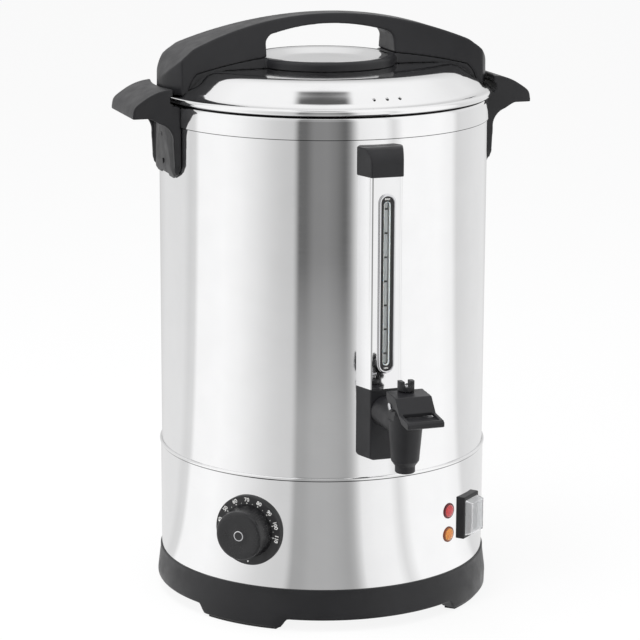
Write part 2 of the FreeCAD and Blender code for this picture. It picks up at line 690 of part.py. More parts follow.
def sight_tube():
    low, high = cover_low - 7, cover_high + 8
    outer = disc(TUBE_R, low, high, 0, tube_y)
    return outer.cut(disc(TUBE_BORE, low - 1, high + 1, 0, tube_y))


def gauge_cap():
    cap = channel(gauge_y - 0.8, GAUGE_HALF_FRONT + 0.8, GAUGE_HALF_BACK + 0.8, cover_high, cap_top)
    front = gauge_y - 0.8
    rise = CAP_ROUND
    edges = [line(V(-40, front - 5, cover_high - 1), V(-40, front - 5, cap_top + 5)),
             line(V(-40, front - 5, cap_top + 5), V(-40, front + rise, cap_top + 5)),
             line(V(-40, front + rise, cap_top + 5), V(-40, front + rise, cap_top)),
             arc(V(-40, front + rise, cap_top), V(-40, front + rise * 0.293, cap_top - rise * 0.293),
                 V(-40, front, cap_top - rise)),
             line(V(-40, front, cap_top - rise), V(-40, front, cover_high - 1)),
             line(V(-40, front, cover_high - 1), V(-40, front - 5, cover_high - 1))]
    cap = cap.cut(wire_prism(edges, V(80, 0, 0)))
    cap = cap.cut(disc(TUBE_R + 1.6, cover_high - 1, cover_high + 10, 0, tube_y))
    height = gauge_screw_z[1]
    return cap.cut(bar(1.5, (0, -SHELL_R + 1, height), (0, -SHELL_R - 8, height)))


def gauge_block():
    body = channel(gauge_y, GAUGE_HALF_FRONT, GAUGE_HALF_BACK, block_low, cover_low)
    body = rounded(body, 4.0, lambda e: e.Length > 12 and abs(middle(e).z - block_low) < 0.01
                   and abs(middle(e).x) > GAUGE_HALF_FRONT)
    body = body.cut(bar(SHANK_R + 0.3, (0, -SHELL_R + 5, tap_z), (0, gauge_y - 5, tap_z)))
    body = body.cut(disc(TUBE_R + 1.6, cover_low - 10, cover_low + 1, 0, tube_y))
    body = body.cut(disc(TUBE_BORE - 1, tap_z, cover_low, 0, tube_y))
    height = gauge_screw_z[0]
    return body.cut(bar(1.5, (0, -SHELL_R + 1, height), (0, -SHELL_R - 8, height)))


def gauge_seal(low, high):
    ring = disc(TUBE_R + 1.55, low, high, 0, tube_y)
    return ring.cut(disc(TUBE_R + RUN, low - 1, high + 1, 0, tube_y))


def gauge_seals():
    return Part.makeCompound([gauge_seal(cover_low - 10, cover_low - 0.5),
                              gauge_seal(cover_high + 0.5, cover_high + 10)])


def gauge_screws():
    head = -math.sqrt((SHELL_R - SHEET) ** 2 - 9) + RUN
    return Part.makeCompound([screw(1.45, 3, 2.2, (0, head, height), (0, -SHELL_R - 7, height))
                              for height in gauge_screw_z])


# Tap
def tap_body():
    points = [(0, nozzle_low), (NOZZLE_R - 0.8, nozzle_low), (NOZZLE_R, nozzle_low + 1),
              (NOZZLE_R, nozzle_top), (SPOUT_LOW_R, spout_low), (SPOUT_TOP_R, spout_top), (0, spout_top)]
    spout = ring_of(points)
    for side in (-1, 1):
        flat = LEVER_HALF - LEVER_T - CLEAR
        spout = spout.cut(block(min(side * flat, side * 20), max(side * flat, side * 20), -20, 20, pin_z - 13,
                                spout_top + 1))
        root = BONNET_R + CLEAR + 0.1
        ear = block(min(side * root, side * flat), max(side * root, side * flat), -PIN_AHEAD - EAR_R,
                    EAR_R - PIN_AHEAD, spout_top - 1, pin_z)
        ear = ear.fuse(bar(EAR_R, (side * root, -PIN_AHEAD, pin_z), (side * flat, -PIN_AHEAD, pin_z)))
        spout = spout.fuse(ear)
    spout.translate(V(0, stem_y, 0))
    barrel = bar(BARREL_R, (0, gauge_y - 0.02, tap_z), (0, stem_y, tap_z))
    body = spout.fuse(barrel)
    body = body.cut(bar(SHANK_R + RUN, (0, gauge_y + 1, tap_z), (0, gauge_y - 18, tap_z)))
    body = body.cut(bar(SHANK_BORE, (0, gauge_y - 17, tap_z), (0, stem_y, tap_z)))
    body = body.cut(disc(CHAMBER_R, seat_z, spout_top + 1, 0, stem_y))
    body = body.cut(disc(BONNET_R + CLEAR, spout_top, pin_z, 0, stem_y))
    body = body.cut(disc(THROAT_R, seat_z - THROAT_L - 1, seat_z + 1, 0, stem_y))
    body = body.cut(disc(NOZZLE_BORE, nozzle_low - 1, seat_z - THROAT_L, 0, stem_y))
    body = body.cut(bar(PIN_R + 0.02, (-20, pin_y, pin_z), (20, pin_y, pin_z)))
    return body.removeSplitter()


def tap_shank():
    inner_end = -(tank_r - 14)
    shank = bar(SHANK_R, (0, inner_end, tap_z), (0, gauge_y - 16, tap_z))
    shank = shank.cut(bar(SHANK_BORE, (0, inner_end + 1, tap_z), (0, gauge_y - 20, tap_z)))
    # side hole that feeds the sight tube
    return shank.cut(disc(TUBE_BORE - 1, tap_z, tap_z + SHANK_R + 2, 0, tube_y))


def tap_nut():
    flats, seat = 13.0, -(tank_r - SHEET - 3.2)
    hexagon = [(flats * math.cos(math.radians(60 * i)), tap_z + flats * math.sin(math.radians(60 * i)))
               for i in range(6)]
    nut = prism(hexagon, "xz", seat, seat + 7)
    return nut.cut(bar(SHANK_R + 0.02, (0, seat - 1, tap_z), (0, seat + 9, tap_z)))


def tap_washers():
    """A soft washer inside the tank wall and a spacer between the tank and the shell."""
    wall_in, wall_out = tank_r - SHEET, tank_r
    low, high = tap_z - 20, tap_z + 20
    inner = bar(14, (0, -(wall_in - 3.2), tap_z), (0, -(wall_in + 2), tap_z)).common(disc(wall_in, low, high))
    spacer = bar(13, (0, -(wall_out - 2), tap_z), (0, -SHELL_R, tap_z)).cut(disc(wall_out, low, high))
    spacer = spacer.common(disc(SHELL_R - SHEET - RUN, low, high))
    hole = bar(SHANK_R + RUN, (0, -wall_in / 2, tap_z), (0, -SHELL_R - 5, tap_z))
    return Part.makeCompound([inner.cut(hole), spacer.cut(hole)])


def tap_bonnet():
    plug = disc(CHAMBER_R - RUN, spout_top - 5, spout_top, 0, stem_y)
    plug = plug.fuse(disc(BONNET_R, spout_top, spout_top + 4, 0, stem_y))
    return plug.cut(disc(STEM_R + RUN, spout_top - 6, spout_top + 5, 0, stem_y))


def tap_stem():
    rod = disc(STEM_R, seat_z + 2, lever_top + CLEAR + 4, 0, stem_y)
    return rod.cut(disc(1.0, lever_top - 4, lever_top + 6, 0, stem_y))


def tap_seal():
    cup = disc(SEAL_R, seat_z, seat_z + 4, 0, stem_y)
    cup = cup.fuse(Part.makeCone(SEAL_R, STEM_R + 1.4, 5, V(0, stem_y, seat_z + 4)))
    return cup.cut(disc(STEM_R, seat_z + 2, seat_z + 10, 0, stem_y))


def stem_cap():
    """Forked cap that the lever lifts."""
    low = lever_top + CLEAR
    cap = disc(7.1, low, low + 8.6, 0, stem_y)
    cap = cap.cut(block(-2.6, 2.6, stem_y - 10, stem_y + 10, low + 4, low + 10))
    cap = cap.cut(block(-10, 10, stem_y + 3.2, stem_y + 10, low + 4.5, low + 10))
    cap = cap.cut(block(-10, 10, stem_y - 10, stem_y - 4.6, low + 5.5, low + 10))
    return cap.cut(disc(STEM_R, low - 1, low + 10, 0, stem_y))


def tap_lever():
    """Press-down lever: a top plate, two side plates with lobes for the pin, and a paddle."""
    back, brow = stem_y + 3.5, stem_y - 17.6
    step, front = stem_y - 27.5, stem_y - 47
    side = [(back, lever_top), (brow, lever_top - 1.2), (step, lever_top - 13), (front + 2, lever_top - 15),
            (front, lever_top - 16.5), (front, lever_top - 20), (front + 2, lever_top - 21),
            (step - 5, lever_top - 19.5), (pin_y - 13, lever_top - 11), (pin_y + 2, pin_z - 1),
            (back, lever_top - 5)]
    body = prism(side, "yz", -LEVER_HALF, LEVER_HALF)
    inside = LEVER_HALF - LEVER_T
    hollow = [(back + 5, lever_top - LEVER_T), (brow + 1, lever_top - LEVER_T - 1),
              (step + 0.5, lever_top - 13 - LEVER_T), (step - 4, lever_top - 16.3), (step - 4, lever_top - 30),
              (back + 5, lever_top - 30)]
    body = body.cut(prism(hollow, "yz", -inside, inside))
    for s in (-1, 1):
        body = body.fuse(bar(4.6, (s * inside, pin_y, pin_z), (s * LEVER_HALF, pin_y, pin_z)))
    body = body.cut(bar(PIN_R + RUN, (-20, pin_y, pin_z), (20, pin_y, pin_z)))
    # slot for the stem, open to the back, and the shallow thumb recess
    body = body.cut(block(-3.2, 3.2, stem_y - 4, stem_y + 10, lever_top - 6, lever_top + 2))
    body = body.cut(block(-LEVER_HALF + 3, LEVER_HALF - 3, front + 3.5, step + 0.5, lever_top - 16, lever_top - 8))
    return body.removeSplitter()


def lever_pin():
    reach = LEVER_HALF + 1.2
    pin = bar(PIN_R, (-reach, pin_y, pin_z), (reach, pin_y, pin_z))
    for s in (-1, 1):
        pin = pin.fuse(bar(PIN_R + 1, (s * (LEVER_HALF + 0.2), pin_y, pin_z), (s * reach, pin_y, pin_z)))
    return pin.removeSplitter()


# Controls
def dial_plate():
    face = skirt_out + DIAL_FACE
    plate = disc(DIAL_R, face - 10, face)
    plate = bevelled(plate, 0.8, lambda e: abs(middle(e).z - face) < 0.1 and e.Length > 50)
    plate = plate.cut(disc(SPINDLE_R + 2.5, face - 20, face + 2))
    return on_wall(plate, DIAL_ANGLE, dial_z).cut(disc(skirt_out + RUN, ledge_z, seam_z))


def knob():
    low = skirt_out + DIAL_FACE + CLEAR
    top = low + KNOB_H
    body = ring_of([(0, low), (KNOB_R, low), (KNOB_FRONT_R, top - 3), (KNOB_FRONT_R - 3, top),
                    (BADGE_R, top), (BADGE_R, top - BADGE_DEPTH), (0, top - BADGE_DEPTH)])
    body = body.cut(disc(SPINDLE_R + 0.02, low - 1, low + 12))
    return on_wall(body, DIAL_ANGLE, dial_z)


def knob_badge():
    low = skirt_out + DIAL_FACE + CLEAR + KNOB_H - BADGE_DEPTH
    return on_wall(disc(BADGE_R - RUN, low, low + 1.2), DIAL_ANGLE, dial_z)


def thermostat_spindle():
    low = skirt_in - 14
    high = skirt_out + DIAL_FACE + CLEAR + 11.9
    return on_wall(disc(SPINDLE_R, low, high), DIAL_ANGLE, dial_z)


def thermostat_body():
    face = skirt_in - 5.0
    body = block(-17, 17, -17, 17, face - 22, face)
    body = body.fuse(disc(5.5, face - 1, skirt_out + 0.2))
    body = body.cut(disc(SPINDLE_R + RUN, skirt_in - 15, skirt_out + 5))
    return on_wall(body, DIAL_ANGLE, dial_z)


def capillary():
    """Thin copper tube from the thermostat up to its bulb under the tank floor."""
    x, y = at(skirt_in - 16, DIAL_ANGLE)
    far_x, far_y = at(bulb_end, DIAL_ANGLE)
    rise = bar(1.0, (x, y, dial_z + 17), (x, y, bulb_z))
    run = bar(1.0, (x, y, bulb_z), (far_x, far_y, bulb_z))
    return rise.fuse(run).fuse(Part.makeSphere(1.0, V(x, y, bulb_z))).removeSplitter()


def thermostat_bulb():
    return on_wall(disc(BULB_R, bulb_start, bulb_end), DIAL_ANGLE, bulb_z)


def lamp(height):
    base = disc(LAMP_R - 1.4, skirt_in - 14, skirt_out + 1)
    flange = disc(LAMP_R, skirt_out - 0.6, skirt_out + 1.4)
    return on_wall(base.fuse(flange), LAMP_ANGLE, height).cut(lamp_clear())


def lamp_clear():
    """Keeps the lamp's flange on the outside of the skirt."""
    keep = tube(skirt_out + RUN, skirt_in - RUN, ledge_z, seam_z)
    holes = [on_wall(disc(LAMP_R - 1.3, skirt_in - 20, skirt_out + 5), LAMP_ANGLE, h) for h in lamp_z.values()]
    return keep.cut(Part.makeCompound(holes))


def lamp_lens(height):
    low, radius = skirt_out + 1.4, LAMP_R - 0.9
    dome = ring_of([(0, low), (radius, low), (radius, low + 0.6), (radius - 2.2, low + 1.8), (0, low + 2.2)])
    return on_wall(dome, LAMP_ANGLE, height)


def switch_frame():
    half_w, half_h = SWITCH_HALF
    w, h = half_w - BODY_INSET, half_h - BODY_INSET
    low = SHELL_R - 9
    outer = block(-half_w, half_w, -half_h, half_h, low + 6, switch_front)
    outer = rounded(outer, 1.0, lambda e: abs(middle(e).z - switch_front) < 0.1)
    outer = on_wall(outer, SWITCH_ANGLE, switch_z).cut(disc(skirt_out + RUN, ledge_z, seam_z))
    body = block(-w, w, -h, h, low - 10, switch_front - 3)
    hole = block(-9, 9, -13, 13, low - 6, switch_front + 1)
    frame = outer.fuse(on_wall(body, SWITCH_ANGLE, switch_z)).cut(on_wall(hole, SWITCH_ANGLE, switch_z))
    pin = bar(1.5 + RUN, (-12, 0, rocker_axis), (12, 0, rocker_axis))
    return frame.cut(on_wall(pin, SWITCH_ANGLE, switch_z)).removeSplitter()


def switch_rocker():
    """Rocker that turns on its own pins inside the frame, with its lower half pressed in."""
    outline = [(-12, 4.3), (0, 3.6), (12, 4.3), (12, 0.5), (4, -4), (-4, -4), (-12, 0.5)]
    body = prism(outline, "yz", -8.6, 8.6).fuse(bar(1.5, (-10.5, 0, 0), (10.5, 0, 0)))
    body.rotate(V(0, 0, 0), V(1, 0, 0), ROCKER_TILT)
    body.translate(V(0, 0, rocker_axis))
    return on_wall(body.removeSplitter(), SWITCH_ANGLE, switch_z)


def switch_cover():
    """Clear splash cover over the rocker, a thin box that tapers to its front."""
    half_w, half_h = COVER_HALF

    def box(inset, a, b):
        w0, h0, w1, h1 = half_w - inset, half_h - inset, half_w - inset - 1.0, half_h - inset - 1.8
        wires = [Part.makePolygon([V(-w, -h, z), V(w, -h, z), V(w, h, z), V(-w, h, z), V(-w, -h, z)])
                 for w, h, z in ((w0, h0, a), (w1, h1, b))]
        return Part.makeLoft(wires, True, True)
    top = switch_front + COVER_DEPTH
    shell = box(0, switch_front, top).cut(box(0.9, switch_front - 0.01, top - 0.9))
    return on_wall(shell, SWITCH_ANGLE, switch_z)


def mains_inlet():
    half_w, half_h = INLET_HALF
    w, h = half_w - BODY_INSET, half_h - BODY_INSET
    front = skirt_out + INLET_FACE
    flange = on_wall(block(-half_w, half_w, -half_h, half_h, front - 9, front), 180, inlet_z)
    flange = flange.cut(disc(skirt_out + RUN, ledge_z, seam_z))
    body = on_wall(block(-w, w, -h, h, front - 26, front - 0.5), 180, inlet_z)
    hole = on_wall(block(1.6 - w, w - 1.6, 1.6 - h, h - 1.6, front - 20, front + 1), 180, inlet_z)
    return flange.fuse(body).cut(hole).cut(inlet_pins()).removeSplitter()


def inlet_pins():
    front = skirt_out + INLET_FACE
    pins = [on_wall(block(x - 1, x + 1, y - 2, y + 2, front - 30, front - 7), 180, inlet_z)
            for x, y in ((-7, -2), (0, 2), (7, -2))]
    return Part.makeCompound(pins)


# Heater and wiring pieces under the tank
def heater_plate():
    return disc(HEATER_R, heater_low, tank_floor)


def heating_element():
    """Heating tube pressed flat under its plate, with two cold ends."""
    ring = tube(ELEMENT_RING + ELEMENT_R, ELEMENT_RING - ELEMENT_R, element_low, heater_low)
    for turn in (150, 210):
        x, y = at(ELEMENT_RING, turn)
        ring = ring.fuse(disc(ELEMENT_R - 0.5, element_low - 26, element_low, x, y))
    return ring


def heater_clamp():
    """Clamp bar on a stud welded under the tank, with its nut."""
    reach = ELEMENT_RING + 2 * ELEMENT_R
    clamp = block(-reach, reach, -10, 10, clamp_low, element_low)
    stud = disc(4, clamp_low - 14, heater_low)
    nut = disc(8, clamp_low - 7, clamp_low)
    return clamp.fuse(stud).fuse(nut).removeSplitter()


def thermal_cutout():
    """Overheat cut-out, held under the clamp bar."""
    x, low = ELEMENT_RING / 2 + 1, clamp_low - 11
    body = disc(9.5, low, clamp_low, x, 0)
    for side in (-1, 1):
        tab = x + side * 7.5
        body = body.fuse(block(tab - 1, tab + 1, -3, 3, low - 8, low))
    return body


def terminal_block():
    half_l, half_w, height = TERMINAL
    y, top = SHELL_R / 2 - 4.5, flange_low + height
    body = block(-half_l, half_l, y - half_w, y + half_w, flange_low, top)
    for i in (-1, 0, 1):
        body = body.cut(disc(3, top - 8, top + 1, i * 0.6 * half_l, y))
    return body


NODES = {
    "base_ring": base_ring, "foot_pads": foot_pads, "base_plate": base_plate, "base_screws": base_screws,
    "lower_skirt": lower_skirt, "outer_shell": outer_shell, "top_collar": top_collar, "inner_tank": inner_tank,
    "left_handle": lambda: mirrored(side_handle()), "right_handle": side_handle,
    "handle_plates": handle_plates, "handle_screws": handle_screws,
    "gauge_cover": gauge_cover, "gauge_frame": gauge_frame, "gauge_gasket": gauge_gasket,
    "sight_tube": sight_tube, "gauge_cap": gauge_cap, "gauge_block": gauge_block, "gauge_seals": gauge_seals,
    "gauge_screws": gauge_screws,
    "tap_body": tap_body, "tap_shank": tap_shank, "tap_nut": tap_nut, "tap_washers": tap_washers,
    "tap_bonnet": tap_bonnet, "tap_stem": tap_stem, "tap_seal": tap_seal, "stem_cap": stem_cap,
    "tap_lever": tap_lever, "lever_pin": lever_pin,
    "dial_plate": dial_plate, "knob": knob, "knob_badge": knob_badge, "thermostat_spindle": thermostat_spindle,
    "thermostat_body": thermostat_body, "capillary": capillary, "thermostat_bulb": thermostat_bulb,
    "red_lamp": lambda: lamp(lamp_z["red"]), "orange_lamp": lambda: lamp(lamp_z["orange"]),
    "red_lens": lambda: lamp_lens(lamp_z["red"]), "orange_lens": lambda: lamp_lens(lamp_z["orange"]),
    "switch_frame": switch_frame, "switch_rocker": switch_rocker, "switch_cover": switch_cover,
    "mains_inlet": mains_inlet, "inlet_pins": inlet_pins,
    "heater_plate": heater_plate, "heating_element": heating_element, "heater_clamp": heater_clamp,
    "thermal_cutout": thermal_cutout, "terminal_block": terminal_block,
    "lid_pan": lid_pan, "lid_ring": lid_ring, "lid_handle_base": lid_handle_base, "lid_arch": lid_arch,
    "finger_dish": finger_dish, "lid_screws": lid_screws,
}

os.makedirs("parts", exist_ok=True)
for name, make in NODES.items():
    make().exportStep("parts/" + name + ".step")
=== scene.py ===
import math

import bmesh
import bpy
from mathutils import Matrix, Vector


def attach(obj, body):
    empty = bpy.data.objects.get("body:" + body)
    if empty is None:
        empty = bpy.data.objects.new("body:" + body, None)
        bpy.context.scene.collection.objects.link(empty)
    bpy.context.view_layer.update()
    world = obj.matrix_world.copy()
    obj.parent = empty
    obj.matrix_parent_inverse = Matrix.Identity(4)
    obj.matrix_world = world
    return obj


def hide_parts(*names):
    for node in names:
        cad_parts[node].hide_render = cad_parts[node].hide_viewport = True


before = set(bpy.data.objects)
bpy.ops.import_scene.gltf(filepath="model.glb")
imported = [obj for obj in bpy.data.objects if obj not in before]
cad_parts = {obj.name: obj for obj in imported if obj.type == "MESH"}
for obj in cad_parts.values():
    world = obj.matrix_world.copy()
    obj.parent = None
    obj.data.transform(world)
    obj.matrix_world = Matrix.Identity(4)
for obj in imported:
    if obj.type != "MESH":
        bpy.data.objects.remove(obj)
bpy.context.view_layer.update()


# Base ring
# The black ring that the steel body stands in, with four feet drawn down from it.
# It is moulded in one piece in satin heat-proof plastic, with a fine grain.
MM = 0.001
BODY = "urn"
RING_FOOT_R, RING_TOP_R, RING_BORE_R = 149.6, 147.2, 146.0
RING_TOP, RING_LOW, FOOT_LOW = 37.0, 10.0, 2.0
FEET = (48.0, 132.0, 228.0, 312.0)
FOOT_HALF, FOOT_RAMP = 38.0, 8.0
RIM_DEPTH, FOOT_DEPTH, DRAFT = 5.5, 8.5, 0.4
FLARE_TOP, FLARE_LOW = 33.0, 14.0
FLANGE_R, FLANGE_LOW, FLANGE_TOP = 118.0, 12.0, 15.0
WALL_R, LEDGE_Z = 143.6, 32.0


def surface(name, colour, rough, grain, mottle=0.12, metallic=0.0, **sockets):
    """A finish with slight cloudiness, uneven gloss and a fine grain.

    grain is (cells per metre, depth in mm) and rough is (low, high).
    """
    made = bpy.data.materials.new(name)
    made.use_nodes = True
    tree = made.node_tree
    shader = tree.nodes["Principled BSDF"]
    shader.inputs["Metallic"].default_value = metallic
    for socket, value in sockets.items():
        shader.inputs[socket.replace("_", " ")].default_value = value
    place = tree.nodes.new("ShaderNodeTexCoord")

    def cloud(cells, detail):
        node = tree.nodes.new("ShaderNodeTexNoise")
        node.inputs["Scale"].default_value = cells
        node.inputs["Detail"].default_value = detail
        tree.links.new(place.outputs["Object"], node.inputs["Vector"])
        return node.outputs["Fac"]

    tone = tree.nodes.new("ShaderNodeValToRGB")
    dark = [c * (1 - mottle) for c in colour]
    light = [min(1.0, c * (1 + mottle)) for c in colour]
    tone.color_ramp.elements[0].position, tone.color_ramp.elements[1].position = 0.32, 0.68
    tone.color_ramp.elements[0].color = dark + [1]
    tone.color_ramp.elements[1].color = light + [1]
    tree.links.new(cloud(38.0, 4.0), tone.inputs["Fac"])
    tree.links.new(tone.outputs["Color"], shader.inputs["Base Color"])
    gloss = tree.nodes.new("ShaderNodeMapRange")
    gloss.inputs["From Min"].default_value, gloss.inputs["From Max"].default_value = 0.3, 0.7
    gloss.inputs["To Min"].default_value, gloss.inputs["To Max"].default_value = rough
    tree.links.new(cloud(90.0, 3.0), gloss.inputs["Value"])
    tree.links.new(gloss.outputs["Result"], shader.inputs["Roughness"])
    bump = tree.nodes.new("ShaderNodeBump")
    bump.inputs["Strength"].default_value = 1.0
    bump.inputs["Distance"].default_value = grain[1] * MM
    tree.links.new(cloud(grain[0], 2.0), bump.inputs["Height"])
    tree.links.new(bump.outputs["Normal"], shader.inputs["Normal"])
    return made


def eased(profile, radii, steps=5):
    """Round the corners of a closed (radius, height) profile. radii has one value for each corner."""
    out = []
    for i, (point, radius) in enumerate(zip(profile, radii)):
        here, before = Vector(point), Vector(profile[i - 1])
        after = Vector(profile[(i + 1) % len(profile)])
        if radius <= 0:
            out.append(tuple(here))
            continue
        start = here + (before - here).normalized() * min(radius, (before - here).length * 0.49)
        end = here + (after - here).normalized() * min(radius, (after - here).length * 0.49)
        for k in range(steps + 1):
            t = k / steps
            out.append(tuple(start * (1 - t) ** 2 + here * 2 * t * (1 - t) + end * t ** 2))
    return out


def placed(name, data):
    """Put new data into the scene as an object."""
    made = bpy.data.objects.new(name, data)
    bpy.context.scene.collection.objects.link(made)
    return made


def swept(name, profile_at, steps, crease=32.0):
    """Turn a closed profile about the urn's axis. profile_at(angle) may change on the way round."""
    mesh = bpy.data.meshes.new(name)
    work = bmesh.new()
    rings = []
    for i in range(steps):
        turn = 2 * math.pi * i / steps
        rings.append([work.verts.new((r * math.sin(turn) * MM, -r * math.cos(turn) * MM, z * MM))
                      for r, z in profile_at(math.degrees(turn))])
    for i, ring in enumerate(rings):
        following = rings[(i + 1) % steps]
        for k in range(len(ring)):
            j = (k + 1) % len(ring)
            work.faces.new((ring[k], following[k], following[j], ring[j]))
    bmesh.ops.remove_doubles(work, verts=work.verts, dist=1e-6)
    bmesh.ops.dissolve_degenerate(work, dist=1e-7, edges=work.edges)
    bmesh.ops.recalc_face_normals(work, faces=work.faces)
    work.to_mesh(mesh)
    work.free()
    mesh.shade_smooth()
    mesh.set_sharp_from_angle(angle=math.radians(crease))
    return placed(name, mesh)


def fitted(piece, material, body, slot, *nodes):
    """Give a piece its finish and body, and let it stand for its CAD nodes."""
    piece.data.materials.clear()
    piece.data.materials.append(material)
    if nodes:
        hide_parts(*nodes)
    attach(piece, body)
    return piece


def ring_profile(angle):
    away = min(abs((angle - foot + 180) % 360 - 180) for foot in FEET) * math.pi / 180 * RING_FOOT_R
    share = min(1.0, max(0.0, (FOOT_HALF + FOOT_RAMP - away) / FOOT_RAMP))
    share = share * share * (3 - 2 * share)
    low = RING_LOW + (FOOT_LOW - RING_LOW) * share
    depth = RIM_DEPTH + FOOT_DEPTH * share
    inner_r = RING_FOOT_R - depth
    return eased([(RING_BORE_R, RING_TOP), (RING_TOP_R, RING_TOP), (RING_TOP_R, FLARE_TOP),
                  (RING_FOOT_R, FLARE_LOW), (RING_FOOT_R, low), (inner_r, low),
                  (inner_r - DRAFT, FLANGE_LOW), (FLANGE_R, FLANGE_LOW),
                  (FLANGE_R, FLANGE_TOP), (WALL_R, FLANGE_TOP), (WALL_R, LEDGE_Z), (RING_BORE_R, LEDGE_Z)],
                 (0, 0.7, 2.5, 3, 2.2, 1.2, 0, 0, 0, 0, 0, 0), 4)


black_plastic = surface("black_plastic", (0.014, 0.014, 0.0155), (0.32, 0.44), (1500.0, 0.05),
                        Specular_IOR_Level=0.36)
base_ring = swept("base_ring_moulding", ring_profile, 480)
fitted(base_ring, black_plastic, BODY, "black_plastic", "base_ring")


# Foot pads and base plate
# Four soft rubber pads keep the feet from sliding, and a slotted steel plate closes the
# underside. Four screws with hexagon heads hold the plate to the ring's flange.
EDGE_BREAK, EDGE_ANGLE = 0.25, 42


def dress(material, *nodes):
    """Finish CAD nodes that keep their own shape, with softened edges that catch the light."""
    for node in nodes:
        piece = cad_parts[node]
        if not piece.material_slots:
            piece.data.materials.append(material)
        for place in piece.material_slots:
            place.material = material
        weld = piece.modifiers.new("joined_edges", "WELD")
        weld.merge_threshold = 2e-6
        edge = piece.modifiers.new("broken_edges", "BEVEL")
        edge.width = EDGE_BREAK * MM
        edge.segments = 2
        edge.limit_method = "ANGLE"
        edge.angle_limit = math.radians(EDGE_ANGLE)
        edge.harden_normals = True
        piece.modifiers.new("even_shading", "NODES").node_group = even_shading


CRISP_ANGLE = 38


def shading_group():
    """Shade smoothly but keep edges over CRISP_ANGLE sharp."""
    group = bpy.data.node_groups.new("even_shading", "GeometryNodeTree")
    group.interface.new_socket("Geometry", in_out="INPUT", socket_type="NodeSocketGeometry")
    group.interface.new_socket("Geometry", in_out="OUTPUT", socket_type="NodeSocketGeometry")
    start, end = group.nodes.new("NodeGroupInput"), group.nodes.new("NodeGroupOutput")
    faces = group.nodes.new("GeometryNodeSetShadeSmooth")
    edges = group.nodes.new("GeometryNodeSetShadeSmooth")
    edges.domain = "EDGE"
    edges.inputs["Shade Smooth"].default_value = False
    angle = group.nodes.new("GeometryNodeInputMeshEdgeAngle")
    sharp = group.nodes.new("FunctionNodeCompare")
    sharp.operation = "GREATER_THAN"
    sharp.inputs["B"].default_value = math.radians(CRISP_ANGLE)
    group.links.new(angle.outputs["Unsigned Angle"], sharp.inputs["A"])
    group.links.new(sharp.outputs["Result"], edges.inputs["Selection"])
    group.links.new(start.outputs[0], faces.inputs["Geometry"])
    group.links.new(faces.outputs["Geometry"], edges.inputs["Geometry"])
    group.links.new(edges.outputs["Geometry"], end.inputs[0])
    return group


even_shading = shading_group()
rubber = surface("rubber_black", (0.03, 0.03, 0.03), (0.7, 0.85), (900.0, 0.12))
plain_steel = surface("plain_steel", (0.5, 0.51, 0.52), (0.26, 0.42), (700.0, 0.03), 0.1, 1.0)
dress(rubber, "foot_pads")
dress(plain_steel, "base_plate", "base_screws")


# Steel shells
# The body is a double jacket of thin stainless sheet: a short lower skirt with a rolled bead
# and an upper shell that slides into it. Both are polished to a mirror after rolling.
def polished(name, rough, streaks, painted_joint_shade=()):
    """Mirror-polished sheet with faint wipe marks.

    The last argument lists (height, half width) of tight joints where shade is painted into the colour as a
    dark band.
    """
    made = surface(name, (0.945, 0.945, 0.95), rough, (60.0, 0.004), 0.012, 1.0)
    tree = made.node_tree
    shader = tree.nodes["Principled BSDF"]
    place = tree.nodes.new("ShaderNodeTexCoord")
    stretch = tree.nodes.new("ShaderNodeMapping")
    stretch.inputs["Scale"].default_value = streaks
    wipe = tree.nodes.new("ShaderNodeTexNoise")
    wipe.inputs["Scale"].default_value = 1.0
    wipe.inputs["Detail"].default_value = 5.0
    gloss = tree.nodes.new("ShaderNodeMapRange")
    gloss.inputs["From Min"].default_value, gloss.inputs["From Max"].default_value = 0.35, 0.75
    gloss.inputs["To Min"].default_value, gloss.inputs["To Max"].default_value = rough
    tree.links.new(place.outputs["Object"], stretch.inputs["Vector"])
    tree.links.new(stretch.outputs["Vector"], wipe.inputs["Vector"])
    tree.links.new(wipe.outputs["Fac"], gloss.inputs["Value"])
    tree.links.new(gloss.outputs["Result"], shader.inputs["Roughness"])
    if not painted_joint_shade:
        return made
    level = tree.nodes.new("ShaderNodeSeparateXYZ")
    tree.links.new(place.outputs["Object"], level.inputs[0])
    shade = shader.inputs["Base Color"].links[0].from_socket
    # Painted shade: each joint darkens the base colour in a thin band about its height.
    for height, half in painted_joint_shade:
        away = tree.nodes.new("ShaderNodeMath")
        away.operation = "SUBTRACT"
        away.inputs[1].default_value = height * MM
        span = tree.nodes.new("ShaderNodeMath")
        span.operation = "ABSOLUTE"
        edge = tree.nodes.new("ShaderNodeMapRange")
        edge.inputs["From Min"].default_value = half * 0.4 * MM
        edge.inputs["From Max"].default_value = half * MM
        edge.inputs["To Min"].default_value = 0.03
        joint_shade = tree.nodes.new("ShaderNodeVectorMath")
        joint_shade.operation = "SCALE"
        tree.links.new(level.outputs["Z"], away.inputs[0])
        tree.links.new(away.outputs[0], span.inputs[0])
        tree.links.new(span.outputs[0], edge.inputs["Value"])
        tree.links.new(shade, joint_shade.inputs[0])
        tree.links.new(edge.outputs["Result"], joint_shade.inputs["Scale"])
        shade = joint_shade.outputs[0]
    tree.links.new(shade, shader.inputs["Base Color"])
    return made


def turned(name, profile, steps=320, crease=32.0):
    return swept(name, lambda angle: profile, steps, crease)


